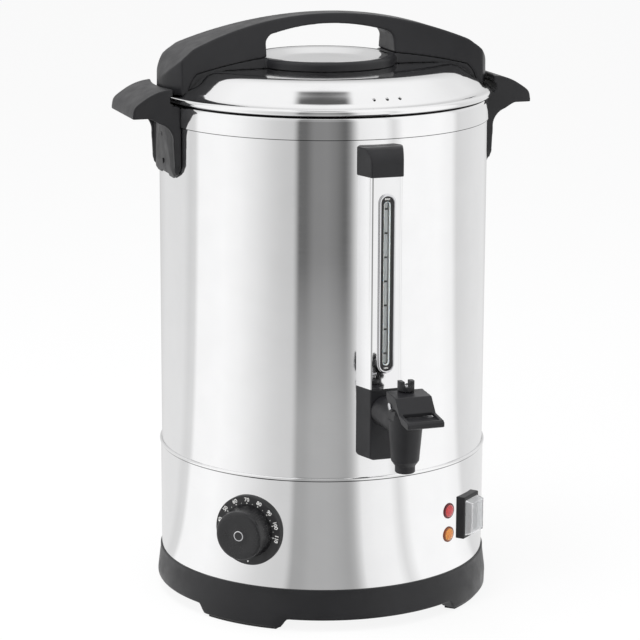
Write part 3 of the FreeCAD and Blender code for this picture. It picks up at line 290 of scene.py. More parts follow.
SHEET, SHELL_R, SHELL_LOW, SHELL_TOP = 0.8, 145.0, 131, 436
SKIRT_IN, SKIRT_OUT, BEAD_R = 145.1, 145.9, 146.9
SKIRT_TOP, BEAD_LOW, BEAD_FULL, SEAM_SHADE_Z = 137.2, 134.2, 134.9, 134.6
MIRROR, ROLLING_MARKS = (0.05, 0.1), (30.0, 30.0, 400.0)
polished_steel = polished("polished_steel", MIRROR, ROLLING_MARKS)
shell = turned("upper_shell_sheet", [(SHELL_R, SHELL_LOW), (SHELL_R, SHELL_TOP), (SHELL_R - SHEET, SHELL_TOP),
                                     (SHELL_R - SHEET, SHELL_LOW)])
fitted(shell, polished_steel, BODY, "polished_steel", "outer_shell")
skirt = turned("skirt_sheet", eased([(SKIRT_IN, LEDGE_Z), (SKIRT_OUT, LEDGE_Z), (SKIRT_OUT, BEAD_LOW),
                                     (BEAD_R, BEAD_FULL), (BEAD_R, SKIRT_TOP), (SKIRT_IN, SKIRT_TOP)],
                                    (0, 0, 0.8, 0.8, 0.9, 0)))
# Painted shade: a thin dark band in the skirt's colour under the rolled bead, where the shell joint sits.
skirt_steel = polished("skirt_steel", MIRROR, ROLLING_MARKS, ((SEAM_SHADE_Z, 0.7),))
fitted(skirt, skirt_steel, BODY, "polished_steel", "lower_skirt")
dress(plain_steel, "inner_tank")


# Top collar
# A pressed ring that caps the jacket. Its outer band laps over the shell and its inner edge
# turns down to make the mouth that the lid drops into.
collar = turned("collar_pressing", eased(
    [(145.1, 429), (146.1, 429), (146.1, 446.4), (144.4, 449), (133.2, 449), (133.2, 436.8), (134, 436.8),
     (134, 448.2), (144.0, 448.2), (145.1, 446)], (0, 0.4, 1.6, 1.4, 1.6, 0, 0, 0.8, 0.6, 0.6)))
# Painted shade: thin dark bands in the collar's colour at its lower edge over the shell and at its top under
# the lid's rim.
collar_steel = polished("collar_steel", MIRROR, ROLLING_MARKS, ((429.2, 0.6), (448.6, 0.9)))
fitted(collar, collar_steel, BODY, "polished_steel", "top_collar")


# Side handles
# Two moulded grips with a hollow underside, each held by two screws from inside the shell
# through a steel backing plate. The edges are well rounded for the fingers.
def moulded(name, node, body, slot, material, voxel, passes, reshape=None):
    """Rebuild a moulding from its solid with soft rounded edges, then draw it further with reshape(point)."""
    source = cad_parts[node]
    made = placed(name, source.data.copy())
    made.modifiers.new("joined", "WELD").merge_threshold = 2e-6
    skin = made.modifiers.new("skin", "REMESH")
    skin.mode, skin.voxel_size = "VOXEL", voxel * MM
    soft = made.modifiers.new("soft", "SMOOTH")
    soft.factor, soft.iterations = 0.5, passes
    bpy.context.view_layer.update()
    graph = bpy.context.evaluated_depsgraph_get()
    final = bpy.data.meshes.new_from_object(made.evaluated_get(graph))
    made.modifiers.clear()
    made.data = final
    final.name = name
    if reshape:
        for point in final.vertices:
            point.co = reshape(point.co)
    final.shade_smooth()
    return fitted(made, material, body, slot, node)


def smooth(value):
    """Ease from 0 to 1."""
    value = min(1.0, max(0.0, value))
    return value * value * (3 - 2 * value)


LIP_LIFT, LIP_START, LIP_RUN = 4.5, 158, 12
GRIP_MID, GRIP_FADE = 440, 15


def raised_lip(point):
    """Draw the lower edge of the grip up towards its outer end."""
    out, height = abs(point.x) / MM, point.z / MM
    lift = LIP_LIFT * smooth((out - LIP_START) / LIP_RUN) * (1 - smooth((height - GRIP_MID) / GRIP_FADE))
    return Vector((point.x, point.y, point.z + lift * MM))


moulded("left_grip", "left_handle", BODY, "black_plastic", black_plastic, 0.7, 8, raised_lip)
moulded("right_grip", "right_handle", BODY, "black_plastic", black_plastic, 0.7, 8, raised_lip)
blacked_steel = surface("blacked_steel", (0.03, 0.03, 0.032), (0.35, 0.5), (700.0, 0.03), 0.1, 1.0)
dress(plain_steel, "handle_plates")
dress(blacked_steel, "handle_screws")


# Tap block
# The lower gauge block holds the sight tube's foot and takes the tap's threaded shank, which
# a nut and soft washers clamp to the tank. It is moulded in the same black plastic.
bright_metal = surface("bright_metal", (0.82, 0.82, 0.84), (0.12, 0.22), (800.0, 0.01), 0.03, 1.0)
silicone = surface("silicone", (0.78, 0.78, 0.74), (0.35, 0.5), (500.0, 0.04), 0.05, Subsurface_Weight=0.2)
moulded("gauge_foot", "gauge_block", BODY, "black_plastic", black_plastic, 0.6, 7)
dress(bright_metal, "tap_shank", "tap_nut")
dress(silicone, "tap_washers", "gauge_seals")


# Sight gauge
# A folded channel of polished sheet guards a glass tube that fills to the water's level. A
# rubber strip with a pale lip lines its round-ended window, inside a thin bright frame.
COVER_LOW, COVER_HIGH, COVER_Y = 219.0, 400.0, -163.0
COVER_FRONT, COVER_BACK, WALL_Y = 13.5, 19.5, -143.8
WINDOW, SLOT_FRONT, SLOT_BACK = (234.6, 384.4), -170, -158


def stadium(half, inset, steps=14):
    """Outline of an upright slot with round ends, drawn in from the window's own ends."""
    turns = [math.pi * (1 + k / steps) for k in range(steps + 1)]
    low, high = WINDOW[0] + inset + half, WINDOW[1] - inset - half
    return ([(half * math.cos(a), low + half * math.sin(a)) for a in turns]
            + [(-half * math.cos(a), high - half * math.sin(a)) for a in turns])


def slotted(piece, outline, y0, y1):
    """Cut an upright slot through a piece."""
    cutter_mesh = bpy.data.meshes.new("cutter")
    work = bmesh.new()
    near = [work.verts.new((x * MM, y0 * MM, z * MM)) for x, z in outline]
    far = [work.verts.new((x * MM, y1 * MM, z * MM)) for x, z in outline]
    work.faces.new(near)
    work.faces.new(far[::-1])
    for i in range(len(near)):
        j = (i + 1) % len(near)
        work.faces.new((near[i], far[i], far[j], near[j]))
    bmesh.ops.recalc_face_normals(work, faces=work.faces)
    work.to_mesh(cutter_mesh)
    work.free()
    pierced(piece, placed("cutter", cutter_mesh))


def pierced(piece, cutter):
    """Subtract a cutter from a piece for good."""
    cut = piece.modifiers.new("cut", "BOOLEAN")
    cut.operation, cut.solver, cut.object = "DIFFERENCE", "EXACT", cutter
    bpy.context.view_layer.update()
    graph = bpy.context.evaluated_depsgraph_get()
    final = bpy.data.meshes.new_from_object(piece.evaluated_get(graph))
    piece.modifiers.clear()
    piece.data = final
    bpy.data.objects.remove(cutter)


def folded(name, section, low, high, crease=30.0):
    """Draw a closed (x, y) section up from low to high."""
    mesh = bpy.data.meshes.new(name)
    work = bmesh.new()
    lower = [work.verts.new((x * MM, y * MM, low * MM)) for x, y in section]
    upper = [work.verts.new((x * MM, y * MM, high * MM)) for x, y in section]
    work.faces.new(lower)
    work.faces.new(upper[::-1])
    for i in range(len(lower)):
        j = (i + 1) % len(lower)
        work.faces.new((lower[i], upper[i], upper[j], lower[j]))
    bmesh.ops.recalc_face_normals(work, faces=work.faces)
    work.to_mesh(mesh)
    work.free()
    mesh.shade_smooth()
    mesh.set_sharp_from_angle(angle=math.radians(crease))
    return placed(name, mesh)


SLOT_HALF, FRAME_HALF, GASKET_HALF, LIP_HALF, GLASS_HALF = 5.6, 7.6, 5.5, 3.1, 2.3
GASKET_INSET, LIP_INSET, GLASS_INSET = 0.1, 4.6, 5.4
cover = folded("gauge_guard", eased(
    [(-COVER_BACK, WALL_Y), (-COVER_FRONT, COVER_Y), (COVER_FRONT, COVER_Y), (COVER_BACK, WALL_Y),
     (COVER_BACK - SHEET, WALL_Y), (COVER_FRONT - SHEET, COVER_Y + SHEET),
     (SHEET - COVER_FRONT, COVER_Y + SHEET), (SHEET - COVER_BACK, WALL_Y)],
    (0, 1.7, 1.7, 0, 0, 1.0, 1.0, 0), 6), COVER_LOW, COVER_HIGH)
slotted(cover, stadium(SLOT_HALF, 0), SLOT_FRONT, SLOT_BACK)
cover.data.set_sharp_from_angle(angle=math.radians(30))
fitted(cover, polished_steel, BODY, "polished_steel", "gauge_cover")


def window_ring(name, outer, inner, section):
    """A ring between two slot outlines. section is (share of the way in, height over the cover) round it."""
    mesh = bpy.data.meshes.new(name)
    work = bmesh.new()
    rings = []
    for a, b in zip(outer, inner):
        rings.append([work.verts.new(((a[0] + (b[0] - a[0]) * share) * MM, (COVER_Y - out) * MM,
                                      (a[1] + (b[1] - a[1]) * share) * MM)) for share, out in section])
    for i, ring in enumerate(rings):
        following = rings[(i + 1) % len(rings)]
        for k in range(len(ring)):
            j = (k + 1) % len(ring)
            work.faces.new((ring[k], following[k], following[j], ring[j]))
    bmesh.ops.recalc_face_normals(work, faces=work.faces)
    work.to_mesh(mesh)
    work.free()
    mesh.shade_smooth()
    mesh.set_sharp_from_angle(angle=math.radians(40))
    return placed(name, mesh)


bezel = window_ring("window_frame", stadium(FRAME_HALF, -2.0), stadium(SLOT_HALF, 0),
                    ((0, 0), (0, 0.9), (0.25, 1.35), (0.75, 1.4), (1, 1.1), (1, 0)))
fitted(bezel, bright_metal, BODY, "bright_metal", "gauge_frame")
lining = window_ring("window_gasket", stadium(GASKET_HALF, GASKET_INSET), stadium(LIP_HALF, LIP_INSET),
                     ((0, -0.6), (0, 0.5), (0.08, 0.7), (0.9, 0.7), (1, 0.5), (1, -1.8)))
fitted(lining, rubber, BODY, "rubber_black", "gauge_gasket")
lip = window_ring("window_lip", stadium(LIP_HALF, LIP_INSET), stadium(GLASS_HALF, GLASS_INSET),
                  ((0, -1.6), (0, 0.2), (0.4, 0.4), (1, 0), (1, -1.6)))
fitted(lip, silicone, BODY, "silicone")
clear_glass = surface("clear_glass", (0.8, 0.84, 0.84), (0.03, 0.08), (200.0, 0.002), 0.02,
                      Transmission_Weight=0.4, IOR=1.47)
dress(clear_glass, "sight_tube")
dress(plain_steel, "gauge_screws")
moulded("gauge_top", "gauge_cap", BODY, "black_plastic", black_plastic, 0.6, 7)


# Level marks
# Seven short dark lines are printed on the glass, and two plain words in white stand on the
# rubber at the ends of the window.
ink = surface("dark_ink", (0.03, 0.03, 0.03), (0.4, 0.55), (600.0, 0.005))
white_print = surface("white_print", (0.82, 0.82, 0.8), (0.4, 0.5), (600.0, 0.005), 0.03)
MARKS = (373.0, 352.4, 331.8, 311.2, 290.6, 270.0, 249.3)
MARK_HALF, MARK_THICK, TUBE_FRONT = 1.6, 0.8, -160.2
FONT_SCALE, INK_HALF, INK_DEPTH = 1.38, 0.02, 0.04


def lettering(name, words, height, matrix, material, body, slot, bold=0.03):
    """Printed words as a very thin raised layer of ink."""
    curve = bpy.data.curves.new(name, "FONT")
    curve.body, curve.align_x, curve.align_y = words, "CENTER", "CENTER"
    curve.size = height * FONT_SCALE * MM
    curve.extrude = INK_HALF * MM
    curve.offset = bold * MM
    holder = placed(name + "_curve", curve)
    bpy.context.view_layer.update()
    mesh = bpy.data.meshes.new_from_object(holder.evaluated_get(bpy.context.evaluated_depsgraph_get()))
    bpy.data.objects.remove(holder)
    mesh.transform(matrix)
    mesh.name = name
    return fitted(placed(name, mesh), material, body, slot)


def on_front(x, y, z):
    """A place on a face that looks out of the front, upright."""
    return Matrix.Translation((x * MM, y * MM, z * MM)) @ Matrix.Rotation(math.radians(90), 4, "X")


def printed_bars(name, rectangles, y):
    """Flat printed rectangles (x0, x1, z0, z1) on a plane that looks out of the front."""
    mesh = bpy.data.meshes.new(name)
    work = bmesh.new()
    for x0, x1, z0, z1 in rectangles:
        corners = ((x0, z0), (x1, z0), (x1, z1), (x0, z1))
        front = [work.verts.new((x * MM, (y - INK_DEPTH) * MM, z * MM)) for x, z in corners]
        back = [work.verts.new((v.co.x, y * MM, v.co.z)) for v in front]
        work.faces.new(front)
        work.faces.new(back[::-1])
        for i in range(4):
            work.faces.new((front[i], back[i], back[(i + 1) % 4], front[(i + 1) % 4]))
    bmesh.ops.recalc_face_normals(work, faces=work.faces)
    work.to_mesh(mesh)
    work.free()
    return placed(name, mesh)


bars = [(-MARK_HALF, MARK_HALF, z - MARK_THICK, z + MARK_THICK) for z in MARKS]
marks = printed_bars("level_marks", bars, TUBE_FRONT - 0.02)
fitted(marks, ink, BODY, "dial_black")
for name, words, height in (("max", "MAX", WINDOW[1] - 2.6), ("min", "MIN", WINDOW[0] + 2.5)):
    lettering("level_word_" + name, words, 1.5, on_front(0, COVER_Y - 0.72, height), white_print, BODY,
              "rubber_black", 0.07)


# Tap
# A moulded spout with a round barrel, a screwed bonnet and a rising stem. Pressing the lever
# down turns it on its steel pin, and its back edge lifts the stem off the seat. A thin web
# is the floor of the lever's thumb recess.
WEB_HALF, WEB_FRONT, WEB_BACK, WEB_LOW, WEB_HIGH = 13.2, -244.5, -235.8, 211.6, 213.0
moulded("spout", "tap_body", BODY, "black_plastic", black_plastic, 0.5, 5)
dress(black_plastic, "tap_bonnet")
dress(bright_metal, "tap_stem", "lever_pin")
dress(silicone, "tap_seal")
moulded("stem_head", "stem_cap", "stem", "black_plastic", black_plastic, 0.35, 3)
moulded("press_lever", "tap_lever", "lever", "black_plastic", black_plastic, 0.4, 7)
web = folded("lever_web", [(-WEB_HALF, WEB_FRONT), (WEB_HALF, WEB_FRONT), (WEB_HALF, WEB_BACK),
                           (-WEB_HALF, WEB_BACK)], WEB_LOW, WEB_HIGH)
fitted(web, black_plastic, "lever", "black_plastic")


# Thermostat dial
# A round black plate with a printed scale in degrees, behind a black knob that clips on the
# thermostat's spindle. White numbers and dots are printed on the plate.
DIAL_ANGLE, DIAL_Z, DIAL_FACE, DIAL_BACK, DIAL_R = -44.5, 87.0, 148.9, 141.0, 31.0


def out_of_wall(angle, height):
    """Place a piece made along +Z, with +Y up, so that it points out of the body at an angle."""
    return (Matrix.Translation((0, 0, height * MM)) @ Matrix.Rotation(math.radians(angle), 4, "Z")
            @ Matrix.Rotation(math.radians(90), 4, "X"))


def turned_on_wall(name, profile, angle, height, steps=128, crease=32.0, wave=None):
    """Turn a profile of (radius, distance from the urn's axis) and set it on the wall."""
    shape = (lambda a: [wave(a, r, z) for r, z in profile]) if wave else (lambda a: profile)
    made = swept(name, shape, steps, crease)
    made.data.transform(out_of_wall(angle, height))
    return made


dial_black = surface("dial_black", (0.018, 0.018, 0.019), (0.42, 0.55), (1200.0, 0.03))
plate = turned_on_wall("dial_face", eased([(0, DIAL_BACK), (DIAL_R, DIAL_BACK), (DIAL_R, DIAL_FACE),
                                           (0, DIAL_FACE)], (0, 0, 1.0, 0)), DIAL_ANGLE, DIAL_Z)
fitted(plate, dial_black, BODY, "dial_black", "dial_plate")
dial_place = out_of_wall(DIAL_ANGLE, DIAL_Z)
TOP_ANGLE, STEP, NUMBER_R, DOT_R, NUMBER_H = -2.0, 25.0, 27.6, 24.6, 3.5
for i, number in enumerate(range(40, 120, 10)):
    turn = math.radians(TOP_ANGLE + STEP * (i - 3))
    spot = (Matrix.Translation((NUMBER_R * math.sin(turn) * MM, NUMBER_R * math.cos(turn) * MM,
                                (DIAL_FACE + 0.02) * MM)) @ Matrix.Rotation(-turn, 4, "Z"))
    lettering("dial_number_%d" % number, str(number), NUMBER_H, dial_place @ spot, white_print, BODY,
              "dial_black", 0.07)


def dots(name, places, matrix):
    """Small printed dots (x, y, radius) as thin discs."""
    mesh = bpy.data.meshes.new(name)
    work = bmesh.new()
    for x, y, radius in places:
        move = Matrix.Translation((x * MM, y * MM, (DIAL_FACE + 0.03) * MM))
        bmesh.ops.create_cone(work, cap_ends=True, segments=20, radius1=radius * MM,
                              radius2=radius * MM * 0.96, depth=0.05 * MM, matrix=move)
    work.to_mesh(mesh)
    work.free()
    mesh.transform(matrix)
    return placed(name, mesh)


def on_dial(degrees, radius):
    turn = math.radians(degrees)
    return radius * math.sin(turn), radius * math.cos(turn)


LARGE_DOT, SMALL_DOT, MARK_DOT = 0.55, 0.3, 0.8
places = [(*on_dial(TOP_ANGLE + STEP * (k / 2 - 3), DOT_R), LARGE_DOT if k % 2 == 0 else SMALL_DOT)
          for k in range(15)]
places.append((*on_dial(180.0, NUMBER_R), MARK_DOT))
fitted(dots("dial_dots", places, dial_place), white_print, BODY, "dial_black")


# Thermostat knob
# The knob is a shallow cup of black plastic with fine grip ribs round its skirt, a softly
# dished face and a bright metal ring sunk round a dark centre.
KNOB_LOW, KNOB_TOP, KNOB_R, KNOB_TAPER, KNOB_SIDE = 149.2, 167.7, 23.5, 2.0, 15.5
RIB_FREE, RIB_FADE, RIB_DEPTH, RIBS = 6, 3, 0.3, 72


def ribbed(angle, radius, height):
    """Fine ribs on the lower half of the knob's side."""
    if radius < 21.0 or height > KNOB_TOP - RIB_FREE:
        return radius, height
    fade = min(1.0, (KNOB_TOP - RIB_FREE - height) / RIB_FADE)
    return radius - RIB_DEPTH * fade * (0.5 - 0.5 * math.cos(math.radians(angle) * RIBS)), height


side = [(KNOB_R - KNOB_TAPER * k / 8, KNOB_LOW + KNOB_SIDE * k / 8) for k in range(9)]
crown = [(21.4, 166.0), (20.9, 166.9), (20.0, 167.5), (18.6, KNOB_TOP), (15.0, 167.5), (11.0, 167.0),
         (8.0, 166.7), (5.9, 167.0), (5.0, 167.1), (4.6, 166.8), (4.6, 165.1), (0, 165.1)]
knob = turned_on_wall("thermostat_knob", [(0, KNOB_LOW)] + side + crown, DIAL_ANGLE, DIAL_Z, 576, 40.0,
                      ribbed)
knob_plastic = surface("knob_plastic", (0.012, 0.012, 0.013), (0.2, 0.3), (1500.0, 0.03))
fitted(knob, knob_plastic, "control_knob", "black_plastic", "knob")
badge = turned_on_wall("knob_disc", eased([(0, 165.1), (4.55, 165.1), (4.55, 166.8), (3.7, 167.0),
                                           (3.7, 165.6), (0, 165.6)], (0, 0, 0.2, 0.2, 0, 0)),
                       DIAL_ANGLE, DIAL_Z, 64)
fitted(badge, bright_metal, "control_knob", "bright_metal", "knob_badge")
centre = turned_on_wall("knob_centre", [(0, 165.6), (3.68, 165.6), (3.68, 166.5), (0, 166.6)],
                        DIAL_ANGLE, DIAL_Z, 64)
fitted(centre, dial_black, "control_knob", "dial_black")
dress(plain_steel, "thermostat_spindle", "thermostat_body")
copper = surface("copper", (0.72, 0.38, 0.24), (0.2, 0.35), (500.0, 0.02), 0.1, 1.0)
dress(copper, "capillary", "thermostat_bulb")


# Indicator lamps
# Two push-in lamps with domed lenses, red above and orange below. Each bezel is moulded in
# the colour of its lens and clips into a round hole in the skirt.
LAMP_ANGLE, LAMP_BACK, LAMP_FRONT, BEZEL_R, LENS_R, LENS_RISE = 30.5, 140.0, 147.2, 7.0, 5.5, 1.9
for name, height, shade, glow in (("red", 93.5, (0.09, 0.004, 0.008), (0.52, 0.03, 0.045)),
                                  ("orange", 72.0, (0.2, 0.045, 0.008), (0.72, 0.22, 0.03))):
    bezel_finish = surface(name + "_plastic", shade, (0.18, 0.28), (400.0, 0.01), 0.06, Subsurface_Weight=0.1)
    lens_finish = surface(name + "_lens_plastic", glow, (0.08, 0.15), (300.0, 0.006), 0.05,
                          Subsurface_Weight=0.3, Coat_Weight=0.5)
    rim = eased([(0, LAMP_BACK), (BEZEL_R, LAMP_BACK), (BEZEL_R, LAMP_FRONT), (6.2, 147.4), (0, LAMP_FRONT)],
                (0, 0, 0.6, 0.3, 0))
    bezel = turned_on_wall(name + "_bezel", rim, LAMP_ANGLE, height, 72)
    fitted(bezel, bezel_finish, BODY, name + "_plastic", name + "_lamp")
    dome = [(LENS_R * math.cos(math.radians(a)), LAMP_FRONT + LENS_RISE * math.sin(math.radians(a)))
            for a in range(0, 91, 10)]
    lens = turned_on_wall(name + "_dome", [(0, 146.8), (LENS_R, 146.8)] + dome, LAMP_ANGLE, height, 72)
    bezel.visible_glossy = lens.visible_glossy = False
    fitted(lens, lens_finish, BODY, name + "_plastic", name + "_lens")


# Rocker switch
# A snap-in mains switch: a black frame, a rocker that tips on its own pins, and a cloudy soft
# cover pressed over it that keeps splashes out.
SWITCH_ANGLE, SWITCH_Z, CUT_HALF, CUT_RISE = 40.5, 84.5, 12.0, 17.5
CUT_MIDDLE, CUT_REACH = 145.5, 8


def opened(sheet, angle, height, half_wide, half_tall):
    """Cut the opening that a part clips into through a round sheet."""
    mesh = bpy.data.meshes.new("opening")
    work = bmesh.new()
    bmesh.ops.create_cube(work, size=2.0, matrix=Matrix.Translation((0, 0, CUT_MIDDLE * MM))
                          @ Matrix.Diagonal((half_wide * MM, half_tall * MM, CUT_REACH * MM, 1)))
    work.to_mesh(mesh)
    work.free()
    mesh.transform(out_of_wall(angle, height))
    pierced(sheet, placed("opening", mesh))
    sheet.data.set_sharp_from_angle(angle=math.radians(32))


opened(skirt, SWITCH_ANGLE, SWITCH_Z, CUT_HALF, CUT_RISE)
clear_plastic = surface("clear_plastic", (0.9, 0.91, 0.92), (0.12, 0.22), (350.0, 0.02), 0.03,
                        Transmission_Weight=0.72, IOR=1.45)
surround = moulded("switch_surround", "switch_frame", BODY, "black_plastic", black_plastic, 0.45, 3)
rocker = moulded("rocker_key", "switch_rocker", "rocker", "black_plastic", black_plastic, 0.35, 3)
splash_cover = moulded("splash_cover", "switch_cover", BODY, "clear_plastic", clear_plastic, 0.28, 2)
for piece in (surround, rocker, splash_cover):
    piece.visible_glossy = False


# Mains inlet
# A standard three-pin inlet at the back of the skirt, moulded in black with flat bright
# pins. It clips into its cut-out from outside.
INLET_ANGLE, INLET_Z, INLET_HALF, INLET_RISE = 180.0, 72.0, 14.0, 11.0
opened(skirt, INLET_ANGLE, INLET_Z, INLET_HALF, INLET_RISE)
moulded("inlet_housing", "mains_inlet", BODY, "black_plastic", black_plastic, 0.45, 3)
dress(bright_metal, "inlet_pins")


# Heater under the tank
# A tubular element clamped flat under the tank through a cast plate, with an overheat cut-out
# and a ceramic terminal block on the base plate.
cast_aluminium = surface("cast_aluminium", (0.6, 0.61, 0.62), (0.4, 0.55), (450.0, 0.08), 0.1, 1.0)
white_ceramic = surface("white_ceramic", (0.85, 0.84, 0.8), (0.12, 0.2), (200.0, 0.02), 0.03)
dress(cast_aluminium, "heater_plate")
dress(plain_steel, "heating_element", "heater_clamp", "thermal_cutout")
dress(white_ceramic, "terminal_block")


# Lid
# The lid is pressed from one sheet: a flat top, a steep shoulder and a rolled rim. Three small
# holes near the front let steam out, and a ring under it drops into the mouth.
# Painted shade: a thin dark band in the lid's colour at the bottom of its rolled rim, where it sits on the
# collar.
lid_steel = polished("lid_steel", (0.06, 0.12), (25.0, 25.0, 60.0), ((449.5, 0.9),))
TOP_CURVE = [(104, 475.5), (112, 475.2), (117, 474.2), (121, 472.6), (125, 470.1), (129, 466.8), (132, 464.3),
             (135, 461.9), (138, 459.3), (140.5, 457.2), (142.6, 455.9), (144.6, 455.35)]
RIM_CURVE = [(146.4, 455.1), (147.7, 454.6), (148.6, 453.6), (149.0, 452.3), (148.8, 451.0), (148.1, 450.0),
             (147.0, 449.4), (145.7, 449.3), (144.8, 449.8), (144.8, 454.4)]
under = [(r - 0.5, z - 0.8) for r, z in reversed(TOP_CURVE[:-1])]
lid = turned("lid_pressing", [(0, 475.5)] + TOP_CURVE + RIM_CURVE + under + [(0, 474.7)], 320, 60.0)
VENT_PITCH_R, VENT_R, VENT_ANGLES = 135.6, 1.5, (-1.0, 4.0, 9.0)
vent_mesh = bpy.data.meshes.new("vents")
work = bmesh.new()
for angle in VENT_ANGLES:
    place = Matrix.Translation((VENT_PITCH_R * math.sin(math.radians(angle)) * MM,
                                -VENT_PITCH_R * math.cos(math.radians(angle)) * MM, 0.466))
    bmesh.ops.create_cone(work, cap_ends=True, segments=32, radius1=VENT_R * MM, radius2=VENT_R * MM,
                          depth=0.02, matrix=place)
work.to_mesh(vent_mesh)
work.free()
pierced(lid, placed("vents", vent_mesh))
lid.data.set_sharp_from_angle(angle=math.radians(50))
fitted(lid, lid_steel, "lid", "polished_steel", "lid_pan")
dress(polished_steel, "lid_ring")
dress(plain_steel, "lid_screws")


# Lid handle
# An arched bar in black plastic stands on a waisted base with a round hub. The base holds a
# polished dish that keeps the fingers off the hot lid, and screws come up through the lid.
END_DROP, END_START, END_RUN, END_LOW, END_RISE = 9.0, 125, 25, 455, 25


def sloping_ends(point):
    """Round the shoulders of the arch off further, down to the lid."""
    out, height = abs(point.x) / MM, point.z / MM
    drop = END_DROP * smooth((out - END_START) / END_RUN) * smooth((height - END_LOW) / END_RISE)
    return Vector((point.x, point.y, point.z - drop * MM))


moulded("handle_arch", "lid_arch", "lid", "black_plastic", black_plastic, 0.8, 12, sloping_ends)
moulded("handle_foot", "lid_handle_base", "lid", "black_plastic", black_plastic, 0.9, 6)
dish = turned("dish_pressing", eased([(0, 477.7), (38, 477.7), (51, 482.7), (57, 482.7), (57, 483.6),
                                      (51.4, 483.6), (38, 478.5), (0, 478.5)],
                                     (0, 3, 2, 0, 0.3, 2, 4, 0)), 200)
fitted(dish, polished_steel, "lid", "polished_steel", "finger_dish")


# Floor, light and camera
# A plain pale floor and backdrop with soft light from above. The polished steel mirrors the
# floor in broad upright bands of light and dark, as it does in a studio.
BANDS = ((-180, 0.55), (-140, 0.76), (-110, 0.76), (-103, 0.66), (-97, 0.70), (-93, 0.97), (-70, 1.0),
         (-57, 0.93), (-45, 0.80), (-34, 0.66), (-27, 0.60), (-19, 0.57), (-15.5, 0.14), (-11, 0.14),
         (-6, 0.23), (3, 0.24), (9, 0.2), (15, 0.12), (18, 0.25), (24, 0.84), (32, 0.9), (42, 0.93),
         (48, 0.72), (55, 0.98), (85, 1.0), (98, 0.93), (104, 0.69), (125, 0.76), (150, 0.8), (180, 0.55))
VIEW_ANGLE, LOOK_DOWN, CAMERA_ROLL = -19.2, 12.92, 0.004


def bands(tree, vector, lift, measure, span, strengths, power):
    """Grey by direction about the urn's axis.

    lift lightens it all, and the dark bands fade as measure grows over span.
    """
    split = tree.nodes.new("ShaderNodeSeparateXYZ")
    turn = tree.nodes.new("ShaderNodeMapping")
    turn.vector_type = "POINT"
    turn.inputs["Rotation"].default_value = (0, 0, math.radians(-VIEW_ANGLE))
    angle = tree.nodes.new("ShaderNodeMath")
    angle.operation = "ARCTAN2"
    minus = tree.nodes.new("ShaderNodeMath")
    minus.operation = "MULTIPLY"
    minus.inputs[1].default_value = -1.0
    share = tree.nodes.new("ShaderNodeMapRange")
    share.inputs["From Min"].default_value, share.inputs["From Max"].default_value = -math.pi, math.pi
    ramp = tree.nodes.new("ShaderNodeValToRGB")
    stops = ramp.color_ramp.elements
    stops.remove(stops[1])
    for k, (degrees, grey) in enumerate(BANDS):
        grey = min(1.0, grey + lift * (1 - grey))
        place = (degrees + 180) / 360
        stop = stops[0] if k == 0 else stops.new(place)
        stop.position = place
        stop.color = (grey, grey, grey, 1)
    tree.links.new(vector, turn.inputs["Vector"])
    tree.links.new(turn.outputs["Vector"], split.inputs["Vector"])
    tree.links.new(split.outputs["X"], angle.inputs[0])
    tree.links.new(split.outputs["Y"], minus.inputs[0])
    tree.links.new(minus.outputs[0], angle.inputs[1])
    tree.links.new(angle.outputs[0], share.inputs["Value"])
    tree.links.new(share.outputs["Result"], ramp.inputs["Fac"])
    fade = tree.nodes.new("ShaderNodeMapRange")
    fade.inputs["From Min"].default_value, fade.inputs["From Max"].default_value = span
    fade.inputs["To Min"].default_value, fade.inputs["To Max"].default_value = strengths
    tree.links.new(measure, fade.inputs["Value"])
    dark = tree.nodes.new("ShaderNodeMath")
    dark.operation = "SUBTRACT"
    dark.inputs[0].default_value = 1.0
    tree.links.new(ramp.outputs["Color"], dark.inputs[1])
    square = tree.nodes.new("ShaderNodeMath")
    square.operation = "POWER"
    square.inputs[1].default_value = power
    tree.links.new(dark.outputs[0], square.inputs[0])
    sum_up = tree.nodes.new("ShaderNodeMath")
    sum_up.operation = "MULTIPLY_ADD"
    tree.links.new(square.outputs[0], sum_up.inputs[0])
    tree.links.new(fade.outputs["Result"], sum_up.inputs[1])
    tree.links.new(ramp.outputs["Color"], sum_up.inputs[2])
    return sum_up.outputs[0]


